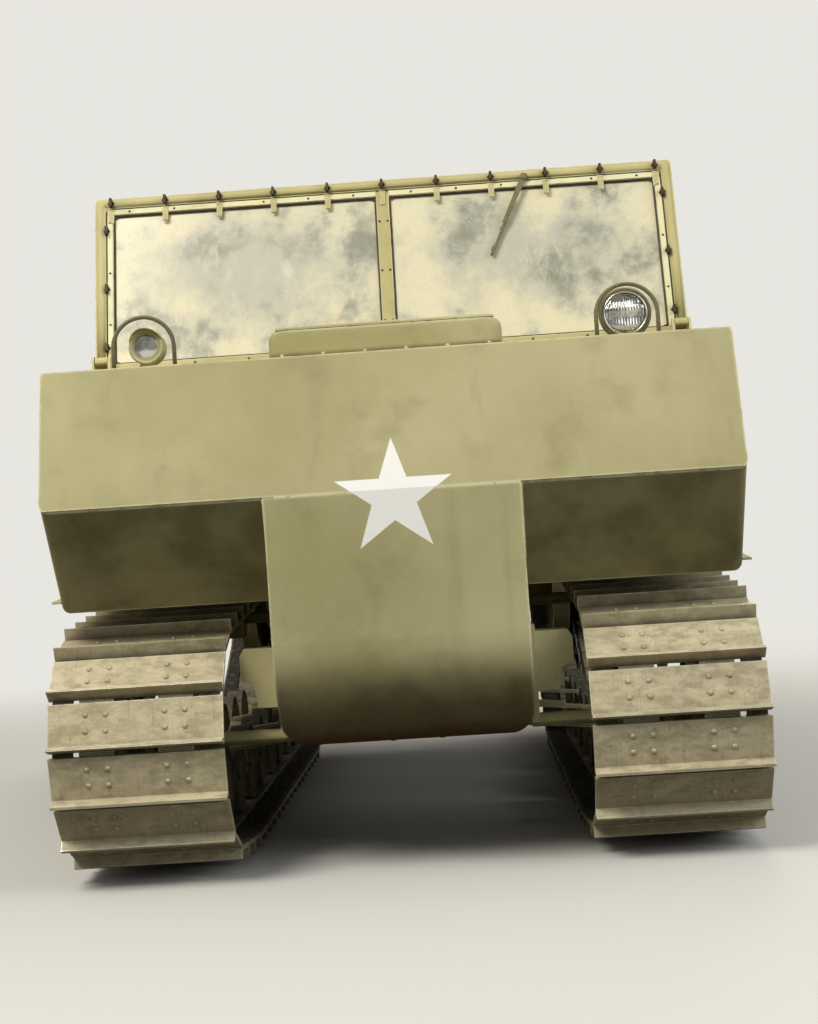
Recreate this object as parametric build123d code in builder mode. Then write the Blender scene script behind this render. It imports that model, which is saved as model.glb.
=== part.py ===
from build123d import *
from math import atan2, cos, degrees, hypot, pi, radians, sin, sqrt
import os

os.makedirs("parts", exist_ok=True)

# Tracks, on the ground at z = 0, with the front towards -Y
track_centre = 584
track_width = 381
belt_thickness = 15
belt_width = 76
belt_offset = 86
shoe_count = 59
shoe_gap = 9
shoe_thickness = 10
grouser_height = 24
grouser_thickness = 12

# Wheels that carry the tracks
idler_y = -1326
idler_height = 301
idler_radius = 225
idler_rim_width = 58
idler_hole_radius = 28
idler_hole_count = 8
wheel_radius = 100
wheel_width = 52
tyre_thickness = 22
disc_recess = 12
first_wheel_y = -990
wheel_spacing = 245
wheel_count = 8
sprocket_y = 1330
sprocket_height = 550
sprocket_radius = 196
sprocket_rim_width = 60
tooth_count = 12
tooth_height = 26
tooth_width = 24
roller_radius = 55
roller_ys = (-480, 430)
disc_thickness = 10
rim_thickness = 24
hub_radius = 70
axle_radius = 16

# Springing
beam_width = 44
beam_rise = 55
leaf_thickness = 8
leaf_width = 50
leaf_count = 3
clip_height = 12
clip_length = 74
clip_width = 150
arm_height = 520
arm_reach = 100
arm_plate = 16
axle_flange_radius = 85
axle_tube_radius = 55

# Hull: the lines of its plates seen from the side
hull_width = 1510
hull_wall = 5
deck_height = 1142
belly_height = 280
tub_width = 550
tub_corner = 70
tub_corner_turn = 75
bow_radius = 240
chine_radius = 22
bow_y = -1600
crease_height = 836
plate_top_y = -1508
plate_corner = 20
cheek_foot_y = -1442
cheek_clearance = 37
sponson_rear_y = 1360
sponson_clearance = 17
stern_y = 1523
stern_rise = 93
transom_foot_height = 640
belly_rear_y = 1120
lip_reach = 20
fit_gap = 0.3

# Decks and the rails round the cabin
deck_rear_y = -917
rear_deck_y = 1290
rail_width = 40
rail_drop = 35

# Hinges of the lids
hinge_gap = 2
pin_radius = 3
knuckle_radius = 6
knuckle_length = 50
ear_thickness = 6

# Ventilator on the front deck
vent_width = 524
vent_front_y = -1412
vent_depth = 165
vent_height = 70
vent_wall = 4
vent_corner = 20
vent_duct_edge = 15
vent_lid_thickness = 7

# Windshield, leaning back like the front plate
shield_inset = 28
shield_height = 493
shield_foot_y = -1041
shield_foot_gap = 16
shield_lean = 15.2
shield_bar = 46
shield_mullion = 32
shield_thickness = 22
pane_thickness = 5
shield_pin_rise = 44
shield_pin_reach = 22
shield_ear_inset = 48
shield_knuckle = 30
shield_knuckle_radius = 12
shield_pin_radius = 5
foot_plate_width = 64
foot_plate_thickness = 4

# Wiper
wiper_x = 357
wiper_length = 224
wiper_angle = 24.8
hub_size = 10
blade_start = 60
blade_stand = 8
blade_depth = 7
arm_thickness = 4

# Lamps on the front deck, and their guards
lamp_inset = 214
lamp_y = -1377
lamp_radius = 58
lamp_depth = 95
lamp_rim = 9
lamp_rim_depth = 14
lamp_post_radius = 14
blackout_radius = 40
blackout_depth = 60
guard_width = 147
guard_height = 126
guard_y = -1412
guard_rod = 5
guard_bend = 45

# Engine and its cover
engine_width = 340
engine_length = 640
engine_height = 560
engine_x = -55
engine_front_y = -862
engine_mount_height = 25
cover_gap = 30
cover_wall = 4
cover_drop = 142
cover_lid_lip = 8
lid_thickness = 6

# Stowage boxes and fuel tank on the sponsons
box_inner_gap = 25
box_strip = 46
box_drop = 132
box_wall = 4
tool_box_ys = (-860, -430)
battery_box_ys = (90, 330)
tank_drop = 102
tank_ys = (-400, 310)
tank_corner = 30
filler_radius = 38
filler_height = 30

# Seats
seat_gap = 55
seat_width = 400
seat_front_y = -420
seat_rear_y = -20
seat_rise = 88
seat_tube = 24
back_drop = 17
back_thickness = 50
cushion_thickness = 90
bench_front_y = 420
bench_rear_y = 830
bench_rise = 98
bench_plate = 20
bench_pads_across = 3
pad_gap = 12

# Controls
dash_width = 480
dash_drop = 10
dash_depth = 160
dial_radius = 42
gauge_radius = 22
lever_y = -640
lever_height = 400
lever_spacing = 120
lever_inset = 305
pedal_y = -790
pedal_height = 150
pedal_width = 70

# Stern fittings
pintle_height = 740
pintle_base = 10
throat_radius = 20
hook_band = 14
pintle_width = 32
latch_width = 14
eye_x = 190
eye_height = 720
eye_radius = 15
eye_width = 18
tail_lamp_inset = 115
tail_lamp_drop = 82
tail_lamp_radius = 38

# Lines worked out from those
half_hull = hull_width / 2
half_tub = tub_width / 2
track_depth = belt_thickness + shoe_thickness + grouser_height
wheel_height = wheel_radius + track_depth
shield_width = hull_width - 2 * shield_inset
shield_ear_x = half_hull - shield_ear_inset
shield_foot_height = deck_height + shield_foot_gap
lamp_x = half_hull - lamp_inset
box_inner_x = half_tub + box_inner_gap
box_outer_x = half_hull - chine_radius - fit_gap
box_top = deck_height - box_drop
cover_top = deck_height - cover_drop
back_top = deck_height - back_drop
cheek_foot_height = idler_height + idler_radius + track_depth + cheek_clearance
sponson_rear_height = sprocket_height + sprocket_radius + track_depth + sponson_clearance


def unit(start, end):
    """Direction from one point to another in the side view."""
    length = hypot(end[0] - start[0], end[1] - start[1])
    return ((end[0] - start[0]) / length, (end[1] - start[1]) / length)


def shifted(point, direction, distance):
    """A point moved along a direction in the side view."""
    return (point[0] + direction[0] * distance, point[1] + direction[1] * distance)


def left_of(direction):
    """The direction turned a quarter turn anticlockwise."""
    return (-direction[1], direction[0])


def crossing(point, direction, other, other_direction):
    """Where two lines in the side view meet."""
    turn = direction[0] * other_direction[1] - direction[1] * other_direction[0]
    dy, dz = other[0] - point[0], other[1] - point[1]
    return shifted(point, direction, (dy * other_direction[1] - dz * other_direction[0]) / turn)


# Side-view points of the hull: crease, plate top, cheek, sponson floor and stern
crease = (bow_y, crease_height)
plate_top = (plate_top_y, deck_height)
cheek_foot = (cheek_foot_y, cheek_foot_height)
sponson_rear = (sponson_rear_y, sponson_rear_height)
stern_in_y = stern_y - hull_wall
stern_foot = (stern_in_y, sponson_rear_height + stern_rise)
plate_run = unit(crease, plate_top)
cheek_run = unit(crease, cheek_foot)
floor_run = unit(cheek_foot, sponson_rear)
stern_run = unit(sponson_rear, stern_foot)
plate_back = shifted(crease, left_of(plate_run), -hull_wall)
plate_foot_in = crossing(crease, cheek_run, plate_back, plate_run)
plate_head_in = crossing(plate_back, plate_run, plate_top, (1, 0))
under_deck = deck_height - hull_wall
cheek_top_in = shifted(cheek_foot, left_of(cheek_run), hull_wall)
floor_top_in = shifted(cheek_foot, left_of(floor_run), hull_wall)
stern_top_in = shifted(sponson_rear, left_of(stern_run), hull_wall)
cheek_foot_in = crossing(cheek_top_in, cheek_run, floor_top_in, floor_run)
sponson_rear_in = crossing(floor_top_in, floor_run, stern_top_in, stern_run)
front_reach = 12 * hull_wall
front_space = [
    plate_foot_in,
    plate_head_in,
    shifted(plate_head_in, plate_run, front_reach),
    shifted(shifted(plate_head_in, plate_run, front_reach), left_of(plate_run), 1.5 * front_reach),
    shifted(crease, cheek_run, -1.5 * front_reach),
]


def sponson_floor(y):
    """Height of the sponson floor's upper surface at a place along the hull."""
    return floor_top_in[1] + (y - floor_top_in[0]) * floor_run[1] / floor_run[0]


def floor_profile(front_y, rear_y, top):
    """Side-view points of a piece that stands on the sloping sponson floor."""
    return [
        (front_y, sponson_floor(front_y) + fit_gap),
        (rear_y, sponson_floor(rear_y) + fit_gap),
        (rear_y, top),
        (front_y, top),
    ]


def ring_sector(centre, inner, outer, start, turn):
    """Sketch of a ring sector, with angles in degrees."""
    with BuildSketch(mode=Mode.PRIVATE) as sector:
        with BuildLine():
            CenterArc(centre, outer, start, turn)
            CenterArc(centre, inner, start, turn)
            for angle in (radians(start), radians(start + turn)):
                Line(
                    (centre[0] + inner * cos(angle), centre[1] + inner * sin(angle)),
                    (centre[0] + outer * cos(angle), centre[1] + outer * sin(angle)),
                )
        make_face()
    return sector.sketch


def hinge_plane(x, y, z, toward_lid):
    """Plane on a hinge axis: X towards the lid, Y up and Z along the pin."""
    return Plane(origin=(x, y, z), x_dir=toward_lid, z_dir=Vector(*toward_lid).cross(Vector(0, 0, 1)))


def hinge_ears(plane, foot_near, foot_far, drop):
    """Fixed half of a hinge: two ears with a pin, on feet that reach down to a seat."""
    with BuildPart(mode=Mode.PRIVATE) as ears:
        for side in (-1, 1):
            middle = side * (knuckle_length / 2 + hinge_gap + ear_thickness / 2)
            with BuildSketch(plane.offset(middle - ear_thickness / 2)):
                Circle(knuckle_radius)
                with Locations(((foot_near + foot_far) / 2, -drop / 2)):
                    Rectangle(foot_far - foot_near, drop)
            extrude(amount=ear_thickness)
        pin_half = knuckle_length / 2 + hinge_gap + ear_thickness
        with BuildSketch(plane.offset(-pin_half)):
            Circle(pin_radius)
        extrude(amount=2 * pin_half)
    return ears.part


def hinge_knuckle(plane, reach, rise, thickness):
    """Moving half of a hinge: a bored knuckle with a leaf towards the lid."""
    with BuildPart(mode=Mode.PRIVATE) as knuckle:
        with BuildSketch(plane.offset(-knuckle_length / 2)):
            Circle(knuckle_radius)
            with Locations((reach / 2, rise)):
                Rectangle(reach, thickness)
            Circle(pin_radius + fit_gap, mode=Mode.SUBTRACT)
        extrude(amount=knuckle_length)
    return knuckle.part


# Front plate, from the crease to the deck
plate_length = hypot(plate_top_y - bow_y, deck_height - crease_height)
plate_plane = Plane(
    origin=(0, bow_y, crease_height), x_dir=(1, 0, 0), z_dir=(0, -plate_run[1], plate_run[0])
)
with BuildPart() as front_plate:
    with BuildSketch(Plane.YZ):
        with BuildLine():
            Polyline(crease, plate_foot_in, plate_head_in, plate_top, close=True)
        make_face()
    extrude(amount=half_hull, both=True)
    with BuildSketch(plate_plane.offset(-4 * hull_wall)):
        with Locations((0, plate_length / 2)):
            RectangleRounded(hull_width, plate_length + 2 * hull_wall, plate_corner)
    extrude(amount=8 * hull_wall, mode=Mode.INTERSECT)
front_plate.part.label = "front_plate"
export_step(front_plate.part, "parts/front_plate.step")

# Lower hull: one folded tub with a curved bow and rounded lower corners, open above the sponson floors
slope_start = (belly_rear_y, belly_height)
slope_run = unit(slope_start, (stern_in_y, transom_foot_height))
tub_cut_front = bow_y - bow_radius
tub_cut_rear = stern_y + bow_radius
tub_cut_top = deck_height + bow_radius
tub_bend_height = belly_height + tub_corner * sin(radians(tub_corner_turn))
section_top = deck_height + tub_corner


def tub_block(inset):
    """Solid that fills the tub to the deck, a distance in from its outer faces."""
    slope = shifted(slope_start, left_of(slope_run), inset)
    keel_rear = crossing(slope, slope_run, (0, belly_height + inset), (1, 0))
    transom_foot = crossing(slope, slope_run, (stern_in_y - inset, 0), (0, 1))
    bow_foot = (bow_y + inset, belly_height + bow_radius)
    keel_front = (bow_y + bow_radius, belly_height + inset)
    bend_head = (half_tub - inset, tub_bend_height)
    bend_drop = tub_bend_height - belly_height - inset
    bend_foot = (half_tub - tub_corner + sqrt((tub_corner - inset) ** 2 - bend_drop**2), belly_height + inset)
    with BuildPart(mode=Mode.PRIVATE) as block:
        with BuildSketch(Plane.YZ.offset(inset - half_tub)):
            with BuildLine():
                TangentArc(bow_foot, keel_front, tangent=(0, -1))
                Polyline(
                    keel_front,
                    keel_rear,
                    transom_foot,
                    (transom_foot[0], deck_height),
                    (bow_foot[0], deck_height),
                    bow_foot,
                )
            make_face()
        extrude(amount=tub_width - 2 * inset)
        with BuildSketch(Plane.XZ.offset(-stern_y)):
            with BuildLine():
                Line((0, belly_height + inset), bend_foot)
                TangentArc(bend_head, bend_foot, tangent=(0, -1))
                Polyline(bend_head, (half_tub - inset, section_top), (0, section_top))
                mirror(about=Plane.YZ)
            make_face()
        extrude(amount=stern_y - bow_y, mode=Mode.INTERSECT)
    return block.part


with BuildPart() as lower_hull:
    add(tub_block(0))
    add(tub_block(hull_wall), mode=Mode.SUBTRACT)
    with BuildSketch(Plane.YZ.offset(-half_hull)):
        with BuildLine():
            Polyline(
                crossing(cheek_top_in, cheek_run, (tub_cut_front, 0), (0, 1)),
                cheek_foot_in,
                sponson_rear_in,
                crossing(stern_top_in, stern_run, (tub_cut_rear, 0), (0, 1)),
                (tub_cut_rear, tub_cut_top),
                (tub_cut_front, tub_cut_top),
                close=True,
            )
        make_face()
        with BuildLine():
            Polyline(*front_space, close=True)
        make_face()
    extrude(amount=hull_width, mode=Mode.SUBTRACT)
lower_hull.part.label = "lower_hull"
export_step(lower_hull.part, "parts/lower_hull.step")

# Sponsons: side wall, cheek and floor over each track
with BuildPart() as sponson_left:
    with BuildSketch(Plane.YZ.offset(half_tub)):
        with BuildLine():
            Polyline(
                crease,
                cheek_foot,
                sponson_rear,
                stern_foot,
                (stern_in_y, under_deck),
                crossing(crease, plate_run, (0, under_deck), (1, 0)),
                close=True,
            )
        make_face()
    extrude(amount=half_hull - half_tub)
    outer_edges = sponson_left.faces().sort_by(Axis.X)[-1].edges()
    fillet(outer_edges.filter_by(lambda e: e.center().Z < stern_foot[1]), chine_radius)
    sponson_faces = sponson_left.faces()
    offset(
        amount=-hull_wall,
        openings=[
            sponson_faces.sort_by(Axis.Z)[-1],
            sponson_faces.sort_by(Axis.X)[0],
            sponson_faces.sort_by(Axis.Y)[-1],
            sponson_faces.sort_by(Axis.Y)[0],
        ],
    )
    with BuildSketch(Plane.YZ.offset(-half_hull)):
        with BuildLine():
            Polyline(*front_space, close=True)
        make_face()
    extrude(amount=hull_width, mode=Mode.SUBTRACT)
sponson_left.part.label = "sponson_left"
export_step(sponson_left.part, "parts/sponson_left.step")

sponson_right = mirror(sponson_left.part, about=Plane.YZ)
sponson_right.label = "sponson_right"
export_step(sponson_right, "parts/sponson_right.step")

# Rear plate, closing hull and sponsons above the transom
rear_plate_foot = stern_foot[1] - hull_wall * 5
with BuildPart() as rear_plate:
    with BuildSketch(Plane.XZ.offset(-stern_y)):
        with Locations((0, (rear_plate_foot + under_deck) / 2)):
            RectangleRounded(hull_width, under_deck - rear_plate_foot, chine_radius / 2)
    extrude(amount=hull_wall)
rear_plate.part.label = "rear_plate"
export_step(rear_plate.part, "parts/rear_plate.step")

# Front deck with the ventilator's opening and a turned-down rear edge
vent_y = vent_front_y + vent_depth / 2
with BuildPart() as front_deck:
    with BuildSketch(Plane.XY.offset(under_deck)):
        with Locations((0, (plate_top_y + deck_rear_y) / 2)):
            Rectangle(hull_width, deck_rear_y - plate_top_y)
        with Locations((0, vent_y)):
            Rectangle(vent_width - 2 * vent_duct_edge, vent_depth - 2 * vent_duct_edge, mode=Mode.SUBTRACT)
    extrude(amount=hull_wall)
    with BuildSketch(Plane.XY.offset(under_deck)):
        with Locations((0, deck_rear_y - hull_wall / 2)):
            Rectangle(hull_width - 2 * rail_width, hull_wall)
    extrude(amount=-rail_drop)
    with BuildSketch(Plane.YZ.offset(-half_hull)):
        with BuildLine():
            Polyline(*front_space, close=True)
        make_face()
    extrude(amount=hull_width, mode=Mode.SUBTRACT)
front_deck.part.label = "front_deck"
export_step(front_deck.part, "parts/front_deck.step")

# Rails along both sides of the cabin, an angle turned down inside
rail_length = rear_deck_y - deck_rear_y - 2 * fit_gap
with BuildPart() as cabin_rails:
    with BuildSketch(Plane.XZ.offset(-(deck_rear_y + fit_gap))):
        with BuildLine():
            Polyline(
                (half_hull, deck_height),
                (half_hull - rail_width, deck_height),
                (half_hull - rail_width, deck_height - rail_drop),
                (half_hull - rail_width + hull_wall, deck_height - rail_drop),
                (half_hull - rail_width + hull_wall, under_deck),
                (half_hull, under_deck),
                close=True,
            )
        make_face()
    extrude(amount=-rail_length)
    mirror(about=Plane.YZ)
cabin_rails.part.label = "cabin_rails"
export_step(cabin_rails.part, "parts/cabin_rails.step")

# Rear deck strip over the stern
with BuildPart() as rear_deck:
    with BuildSketch(Plane.XY.offset(under_deck)):
        with Locations((0, (rear_deck_y + stern_y) / 2)):
            Rectangle(hull_width, stern_y - rear_deck_y)
    extrude(amount=hull_wall)
    with BuildSketch(Plane.XY.offset(under_deck)):
        with Locations((0, rear_deck_y + hull_wall / 2)):
            Rectangle(hull_width - 2 * rail_width, hull_wall)
    extrude(amount=-rail_drop)
rear_deck.part.label = "rear_deck"
export_step(rear_deck.part, "parts/rear_deck.step")

# Narrow lips along the foot of both hull sides
with BuildPart() as side_lips:
    with BuildSketch(Plane.YZ.offset(half_hull)):
        with BuildLine():
            lip_front = shifted(cheek_foot, left_of(floor_run), chine_radius)
            lip_rear = shifted(sponson_rear, left_of(floor_run), chine_radius)
            Polyline(
                lip_front,
                lip_rear,
                shifted(lip_rear, left_of(floor_run), hull_wall),
                shifted(lip_front, left_of(floor_run), hull_wall),
                close=True,
            )
        make_face()
    extrude(amount=lip_reach)
    mirror(about=Plane.YZ)
side_lips.part.label = "side_lips"
export_step(side_lips.part, "parts/side_lips.step")

# Ventilator: a raised coaming with a lid hinged at its rear edge
vent_top = deck_height + vent_height
vent_hinge_y = vent_front_y + vent_depth + knuckle_radius + 1
vent_hinge_height = vent_top + fit_gap + vent_lid_thickness / 2
vent_hinges = [
    hinge_plane(x, vent_hinge_y, vent_hinge_height, (0, -1, 0)) for x in (-vent_width / 3, vent_width / 3)
]
with BuildPart() as vent_hood:
    with BuildSketch(Plane.XY.offset(deck_height)):
        with Locations((0, vent_y)):
            RectangleRounded(vent_width, vent_depth, vent_corner)
            RectangleRounded(
                vent_width - 2 * vent_wall, vent_depth - 2 * vent_wall, vent_corner - vent_wall, mode=Mode.SUBTRACT
            )
    extrude(amount=vent_height)
    for plane in vent_hinges:
        add(hinge_ears(plane, 0, knuckle_radius + 2, vent_height / 2))
vent_hood.part.label = "vent_hood"
export_step(vent_hood.part, "parts/vent_hood.step")

ear_outside = knuckle_length / 2 + 2 * hinge_gap + ear_thickness
with BuildPart() as vent_lid:
    with BuildSketch(Plane.XY.offset(vent_top + fit_gap)):
        with Locations((0, vent_y)):
            RectangleRounded(vent_width, vent_depth, vent_corner)
        for plane in vent_hinges:
            with Locations((plane.origin.X, vent_y + vent_depth / 2)):
                Rectangle(2 * ear_outside, 2 * (knuckle_radius - 1), mode=Mode.SUBTRACT)
    extrude(amount=vent_lid_thickness)
    fillet(vent_lid.faces().sort_by(Axis.Z)[-1].edges().group_by(Axis.Y)[0], vent_lid_thickness * 0.45)
    for plane in vent_hinges:
        add(hinge_knuckle(plane, 2 * knuckle_radius + 4, 0, vent_lid_thickness))
vent_lid.part.label = "vent_lid"
export_step(vent_lid.part, "parts/vent_lid.step")

# Windshield: frame with a centre bar, two panes, and its hinge feet on the deck
lean = radians(shield_lean)
shield_plane = Plane(
    origin=(0, shield_foot_y, shield_foot_height), x_dir=(1, 0, 0), z_dir=(0, -cos(lean), sin(lean))
)
pane_width = (shield_width - 2 * shield_bar - shield_mullion) / 2
pane_height = shield_height - 2 * shield_bar
pane_x = (pane_width + shield_mullion) / 2
pin_out = shield_thickness / 2 + shield_pin_reach
shield_pin_y = shield_foot_y + shield_pin_rise * sin(lean) - pin_out * cos(lean)
shield_pin_height = shield_foot_height + shield_pin_rise * cos(lean) + pin_out * sin(lean)
with BuildPart() as windshield_frame:
    with BuildSketch(shield_plane):
        with Locations((0, shield_height / 2)):
            RectangleRounded(shield_width, shield_height, shield_thickness / 2)
            with Locations((-pane_x, 0), (pane_x, 0)):
                Rectangle(pane_width, pane_height, mode=Mode.SUBTRACT)
    extrude(amount=shield_thickness / 2, both=True)
    for side in (-1, 1):
        with BuildSketch(Plane.YZ.offset(side * shield_ear_x - shield_knuckle / 2)):
            with Locations(Location((shield_pin_y, shield_pin_height, 0), -shield_lean)):
                Circle(shield_knuckle_radius)
                with Locations((pin_out / 2, 0)):
                    Rectangle(pin_out, 2 * shield_knuckle_radius)
                Circle(shield_pin_radius + fit_gap, mode=Mode.SUBTRACT)
        extrude(amount=shield_knuckle)
windshield_frame.part.label = "windshield_frame"
export_step(windshield_frame.part, "parts/windshield_frame.step")

with BuildPart() as windshield_panes:
    with BuildSketch(shield_plane):
        with Locations((-pane_x, shield_height / 2), (pane_x, shield_height / 2)):
            Rectangle(pane_width - 2 * fit_gap, pane_height - 2 * fit_gap)
    extrude(amount=pane_thickness / 2, both=True)
windshield_panes.part.label = "windshield_panes"
export_step(windshield_panes.part, "parts/windshield_panes.step")

foot_web = shield_knuckle_radius + 2
foot_low = deck_height + foot_plate_thickness / 2
with BuildPart() as windshield_feet:
    with Locations((shield_ear_x, shield_pin_y - foot_web, foot_low)):
        Box(foot_plate_width, 4 * shield_knuckle_radius + 4, foot_plate_thickness)
    for side in (-1, 1):
        ear_x = shield_ear_x + side * (shield_knuckle / 2 + hinge_gap + ear_thickness / 2)
        with BuildSketch(Plane.YZ.offset(ear_x - ear_thickness / 2)):
            with Locations((shield_pin_y, shield_pin_height)):
                Circle(foot_web)
            with BuildLine():
                Polyline(
                    (shield_pin_y + foot_web / 2, foot_low),
                    (shield_pin_y + foot_web / 2, shield_pin_height),
                    (shield_pin_y - foot_web, shield_pin_height),
                    (shield_pin_y - 2.5 * foot_web, foot_low),
                    close=True,
                )
            make_face()
        extrude(amount=ear_thickness)
    with Locations(Location((shield_ear_x, shield_pin_y, shield_pin_height), (0, 90, 0))):
        Cylinder(shield_pin_radius, shield_knuckle + 2 * hinge_gap + 2 * ear_thickness)
    mirror(about=Plane.YZ)
windshield_feet.part.label = "windshield_feet"
export_step(windshield_feet.part, "parts/windshield_feet.step")

# Wiper: hub on the top bar, arm and blade hanging in front of the left pane
swing = radians(wiper_angle)
wiper_plane = Plane(
    origin=shield_plane.from_local_coords((wiper_x, shield_height - shield_bar / 2, 0)),
    x_dir=(cos(swing), -sin(swing) * sin(lean), -sin(swing) * cos(lean)),
    z_dir=shield_plane.z_dir,
)
arm_stand = blade_stand + blade_depth
hub_seat = shield_thickness / 2 + fit_gap
with BuildPart() as wiper:
    with BuildSketch(wiper_plane.offset(hub_seat)):
        Circle(hub_size)
    extrude(amount=arm_stand + 1.5 * arm_thickness - hub_seat)
    with BuildSketch(wiper_plane.offset(arm_stand)):
        with BuildLine():
            arm_end = -0.62 * wiper_length
            Polyline((-5, 0), (-2.5, arm_end), (2.5, arm_end), (5, 0), close=True)
        make_face()
    extrude(amount=arm_thickness)
    with BuildSketch(wiper_plane.offset(blade_stand)):
        with Locations((0, -(blade_start + wiper_length) / 2)):
            Rectangle(blade_depth - 1, wiper_length - blade_start)
    extrude(amount=blade_depth)
wiper.part.label = "wiper"
export_step(wiper.part, "parts/wiper.step")

# Headlamp on the left of the deck, blackout lamp on the right, and their guards
lamp_height = deck_height + lamp_radius + 2
lens_radius = lamp_radius - lamp_rim
rim_back = lamp_y + lamp_rim_depth
with BuildPart() as headlamp:
    with BuildSketch(Plane.YZ.offset(lamp_x)):
        with BuildLine():
            Polyline(
                (lamp_y, lamp_height + lens_radius),
                (lamp_y, lamp_height + lamp_radius),
                (rim_back, lamp_height + lamp_radius),
                (rim_back + 2, lamp_height + lamp_radius - 5),
            )
            ThreePointArc(
                (rim_back + 2, lamp_height + lamp_radius - 5),
                (lamp_y + 0.72 * lamp_depth, lamp_height + 0.62 * lamp_radius),
                (lamp_y + lamp_depth, lamp_height),
            )
            Polyline(
                (lamp_y + lamp_depth, lamp_height),
                (lamp_y + lamp_rim_depth / 2, lamp_height),
                (lamp_y + lamp_rim_depth / 2, lamp_height + lens_radius),
                (lamp_y, lamp_height + lens_radius),
            )
        make_face()
    revolve(axis=Axis((lamp_x, lamp_y, lamp_height), (0, 1, 0)))
    with Locations((lamp_x, lamp_y + lamp_depth / 2, deck_height + lamp_post_radius)):
        Cylinder(lamp_post_radius, 2 * lamp_post_radius)
headlamp.part.label = "headlamp"
export_step(headlamp.part, "parts/headlamp.step")

with BuildPart() as headlamp_lens:
    with BuildSketch(Plane.XZ.offset(-(lamp_y + lamp_rim_depth / 2 - fit_gap))):
        with Locations((lamp_x, lamp_height)):
            Circle(lens_radius - fit_gap)
    extrude(amount=lamp_rim_depth / 2 - 1)
headlamp_lens.part.label = "headlamp_lens"
export_step(headlamp_lens.part, "parts/headlamp_lens.step")

with BuildPart() as blackout_lamp:
    blackout_y = lamp_y + blackout_depth / 2
    with Locations(Location((-lamp_x, blackout_y, deck_height + lamp_radius), (90, 0, 0))):
        Cylinder(blackout_radius, blackout_depth)
    fillet(blackout_lamp.faces().sort_by(Axis.Y)[-1].edges(), blackout_radius / 2)
    with Locations((-lamp_x, blackout_y, deck_height + lamp_post_radius)):
        Cylinder(lamp_post_radius, 2 * lamp_post_radius)
blackout_lamp.part.label = "blackout_lamp"
export_step(blackout_lamp.part, "parts/blackout_lamp.step")

with BuildPart() as lamp_guards:
    with BuildLine() as hoop:
        hoop_top = deck_height + guard_height - guard_rod
        hoop_near, hoop_far = lamp_x - guard_width / 2 + guard_rod, lamp_x + guard_width / 2 - guard_rod
        FilletPolyline(
            (hoop_near, guard_y, deck_height),
            (hoop_near, guard_y, hoop_top),
            (hoop_far, guard_y, hoop_top),
            (hoop_far, guard_y, deck_height),
            radius=guard_bend,
        )
    with BuildSketch(Plane(origin=hoop.line @ 0, z_dir=hoop.line % 0)):
        Circle(guard_rod)
    sweep()
    mirror(about=Plane.YZ)
lamp_guards.part.label = "lamp_guards"
export_step(lamp_guards.part, "parts/lamp_guards.step")

# Track loops: each is two endless belts with cross shoes, round idler, wheels and sprocket
wheel_ys = [first_wheel_y + index * wheel_spacing for index in range(wheel_count)]
loop_circles = (
    (idler_y, idler_height, idler_radius),
    (wheel_ys[0], wheel_height, wheel_radius),
    (wheel_ys[-1], wheel_height, wheel_radius),
    (sprocket_y, sprocket_height, sprocket_radius),
)


def loop_face(depth):
    """Side view of what the track goes round, grown by a depth."""
    with BuildSketch(mode=Mode.PRIVATE) as face:
        for y, z, radius in loop_circles:
            with Locations((y, z)):
                Circle(radius + depth)
        make_hull()
    return face.sketch


belt_line = loop_face(belt_thickness).faces()[0].outer_wire()
hinge_points = [belt_line @ (index / shoe_count) for index in range(shoe_count)]
shoe_places = []
for here, there in zip(hinge_points, hinge_points[1:] + hinge_points[:1]):
    along = (there - here).normalized()
    shoe_places.append(((here + there) / 2, degrees(atan2(along.Y, along.X)), (there - here).length))
with BuildPart() as track_left:
    for side in (-1, 1):
        with BuildSketch(Plane.YZ.offset(track_centre + side * belt_offset - belt_width / 2)):
            with BuildLine():
                Polyline(*hinge_points, close=True)
            make_face()
            add(loop_face(0), mode=Mode.SUBTRACT)
        extrude(amount=belt_width)
    with BuildSketch(Plane.YZ.offset(track_centre - track_width / 2)):
        for middle, angle, chord in shoe_places:
            half = (chord - shoe_gap) / 2
            with Locations(Location((middle.X, middle.Y, 0), angle)):
                Polygon(
                    (-half, 0),
                    (-half, -shoe_thickness),
                    (half - grouser_thickness, -shoe_thickness),
                    (half - grouser_thickness / 2, -shoe_thickness - grouser_height),
                    (half, -shoe_thickness - grouser_height),
                    (half, 0),
                    align=None,
                )
    extrude(amount=track_width)
track_left.part.label = "track_left"
export_step(track_left.part, "parts/track_left.step")

track_right = mirror(track_left.part, about=Plane.YZ)
track_right.label = "track_right"
export_step(track_right, "parts/track_right.step")

# Idler wheels: two rims on dished discs with round holes, on one hub
with BuildPart() as idlers:
    with BuildSketch(Plane.XY.offset(idler_height)):
        for side in (-1, 1):
            with Locations((track_centre + side * belt_offset, idler_y + idler_radius - rim_thickness / 2)):
                Rectangle(idler_rim_width, rim_thickness - 2 * fit_gap)
            web_x = track_centre + side * (belt_offset - disc_recess)
            with Locations((web_x, idler_y + (idler_radius - rim_thickness + hub_radius) / 2)):
                Rectangle(disc_thickness, idler_radius - rim_thickness - hub_radius + 2)
        with Locations((track_centre, idler_y + (hub_radius + axle_radius + fit_gap) / 2)):
            Rectangle(2 * belt_offset + disc_recess, hub_radius - axle_radius - fit_gap)
    revolve(axis=Axis((0, idler_y, idler_height), (1, 0, 0)))
    with Locations(Location((track_centre, idler_y, idler_height), (0, 90, 0))):
        with PolarLocations((idler_radius - rim_thickness + hub_radius) / 2, idler_hole_count):
            Hole(idler_hole_radius, depth=track_width)
    mirror(about=Plane.YZ)
idlers.part.label = "idlers"
export_step(idlers.part, "parts/idlers.step")

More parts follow.
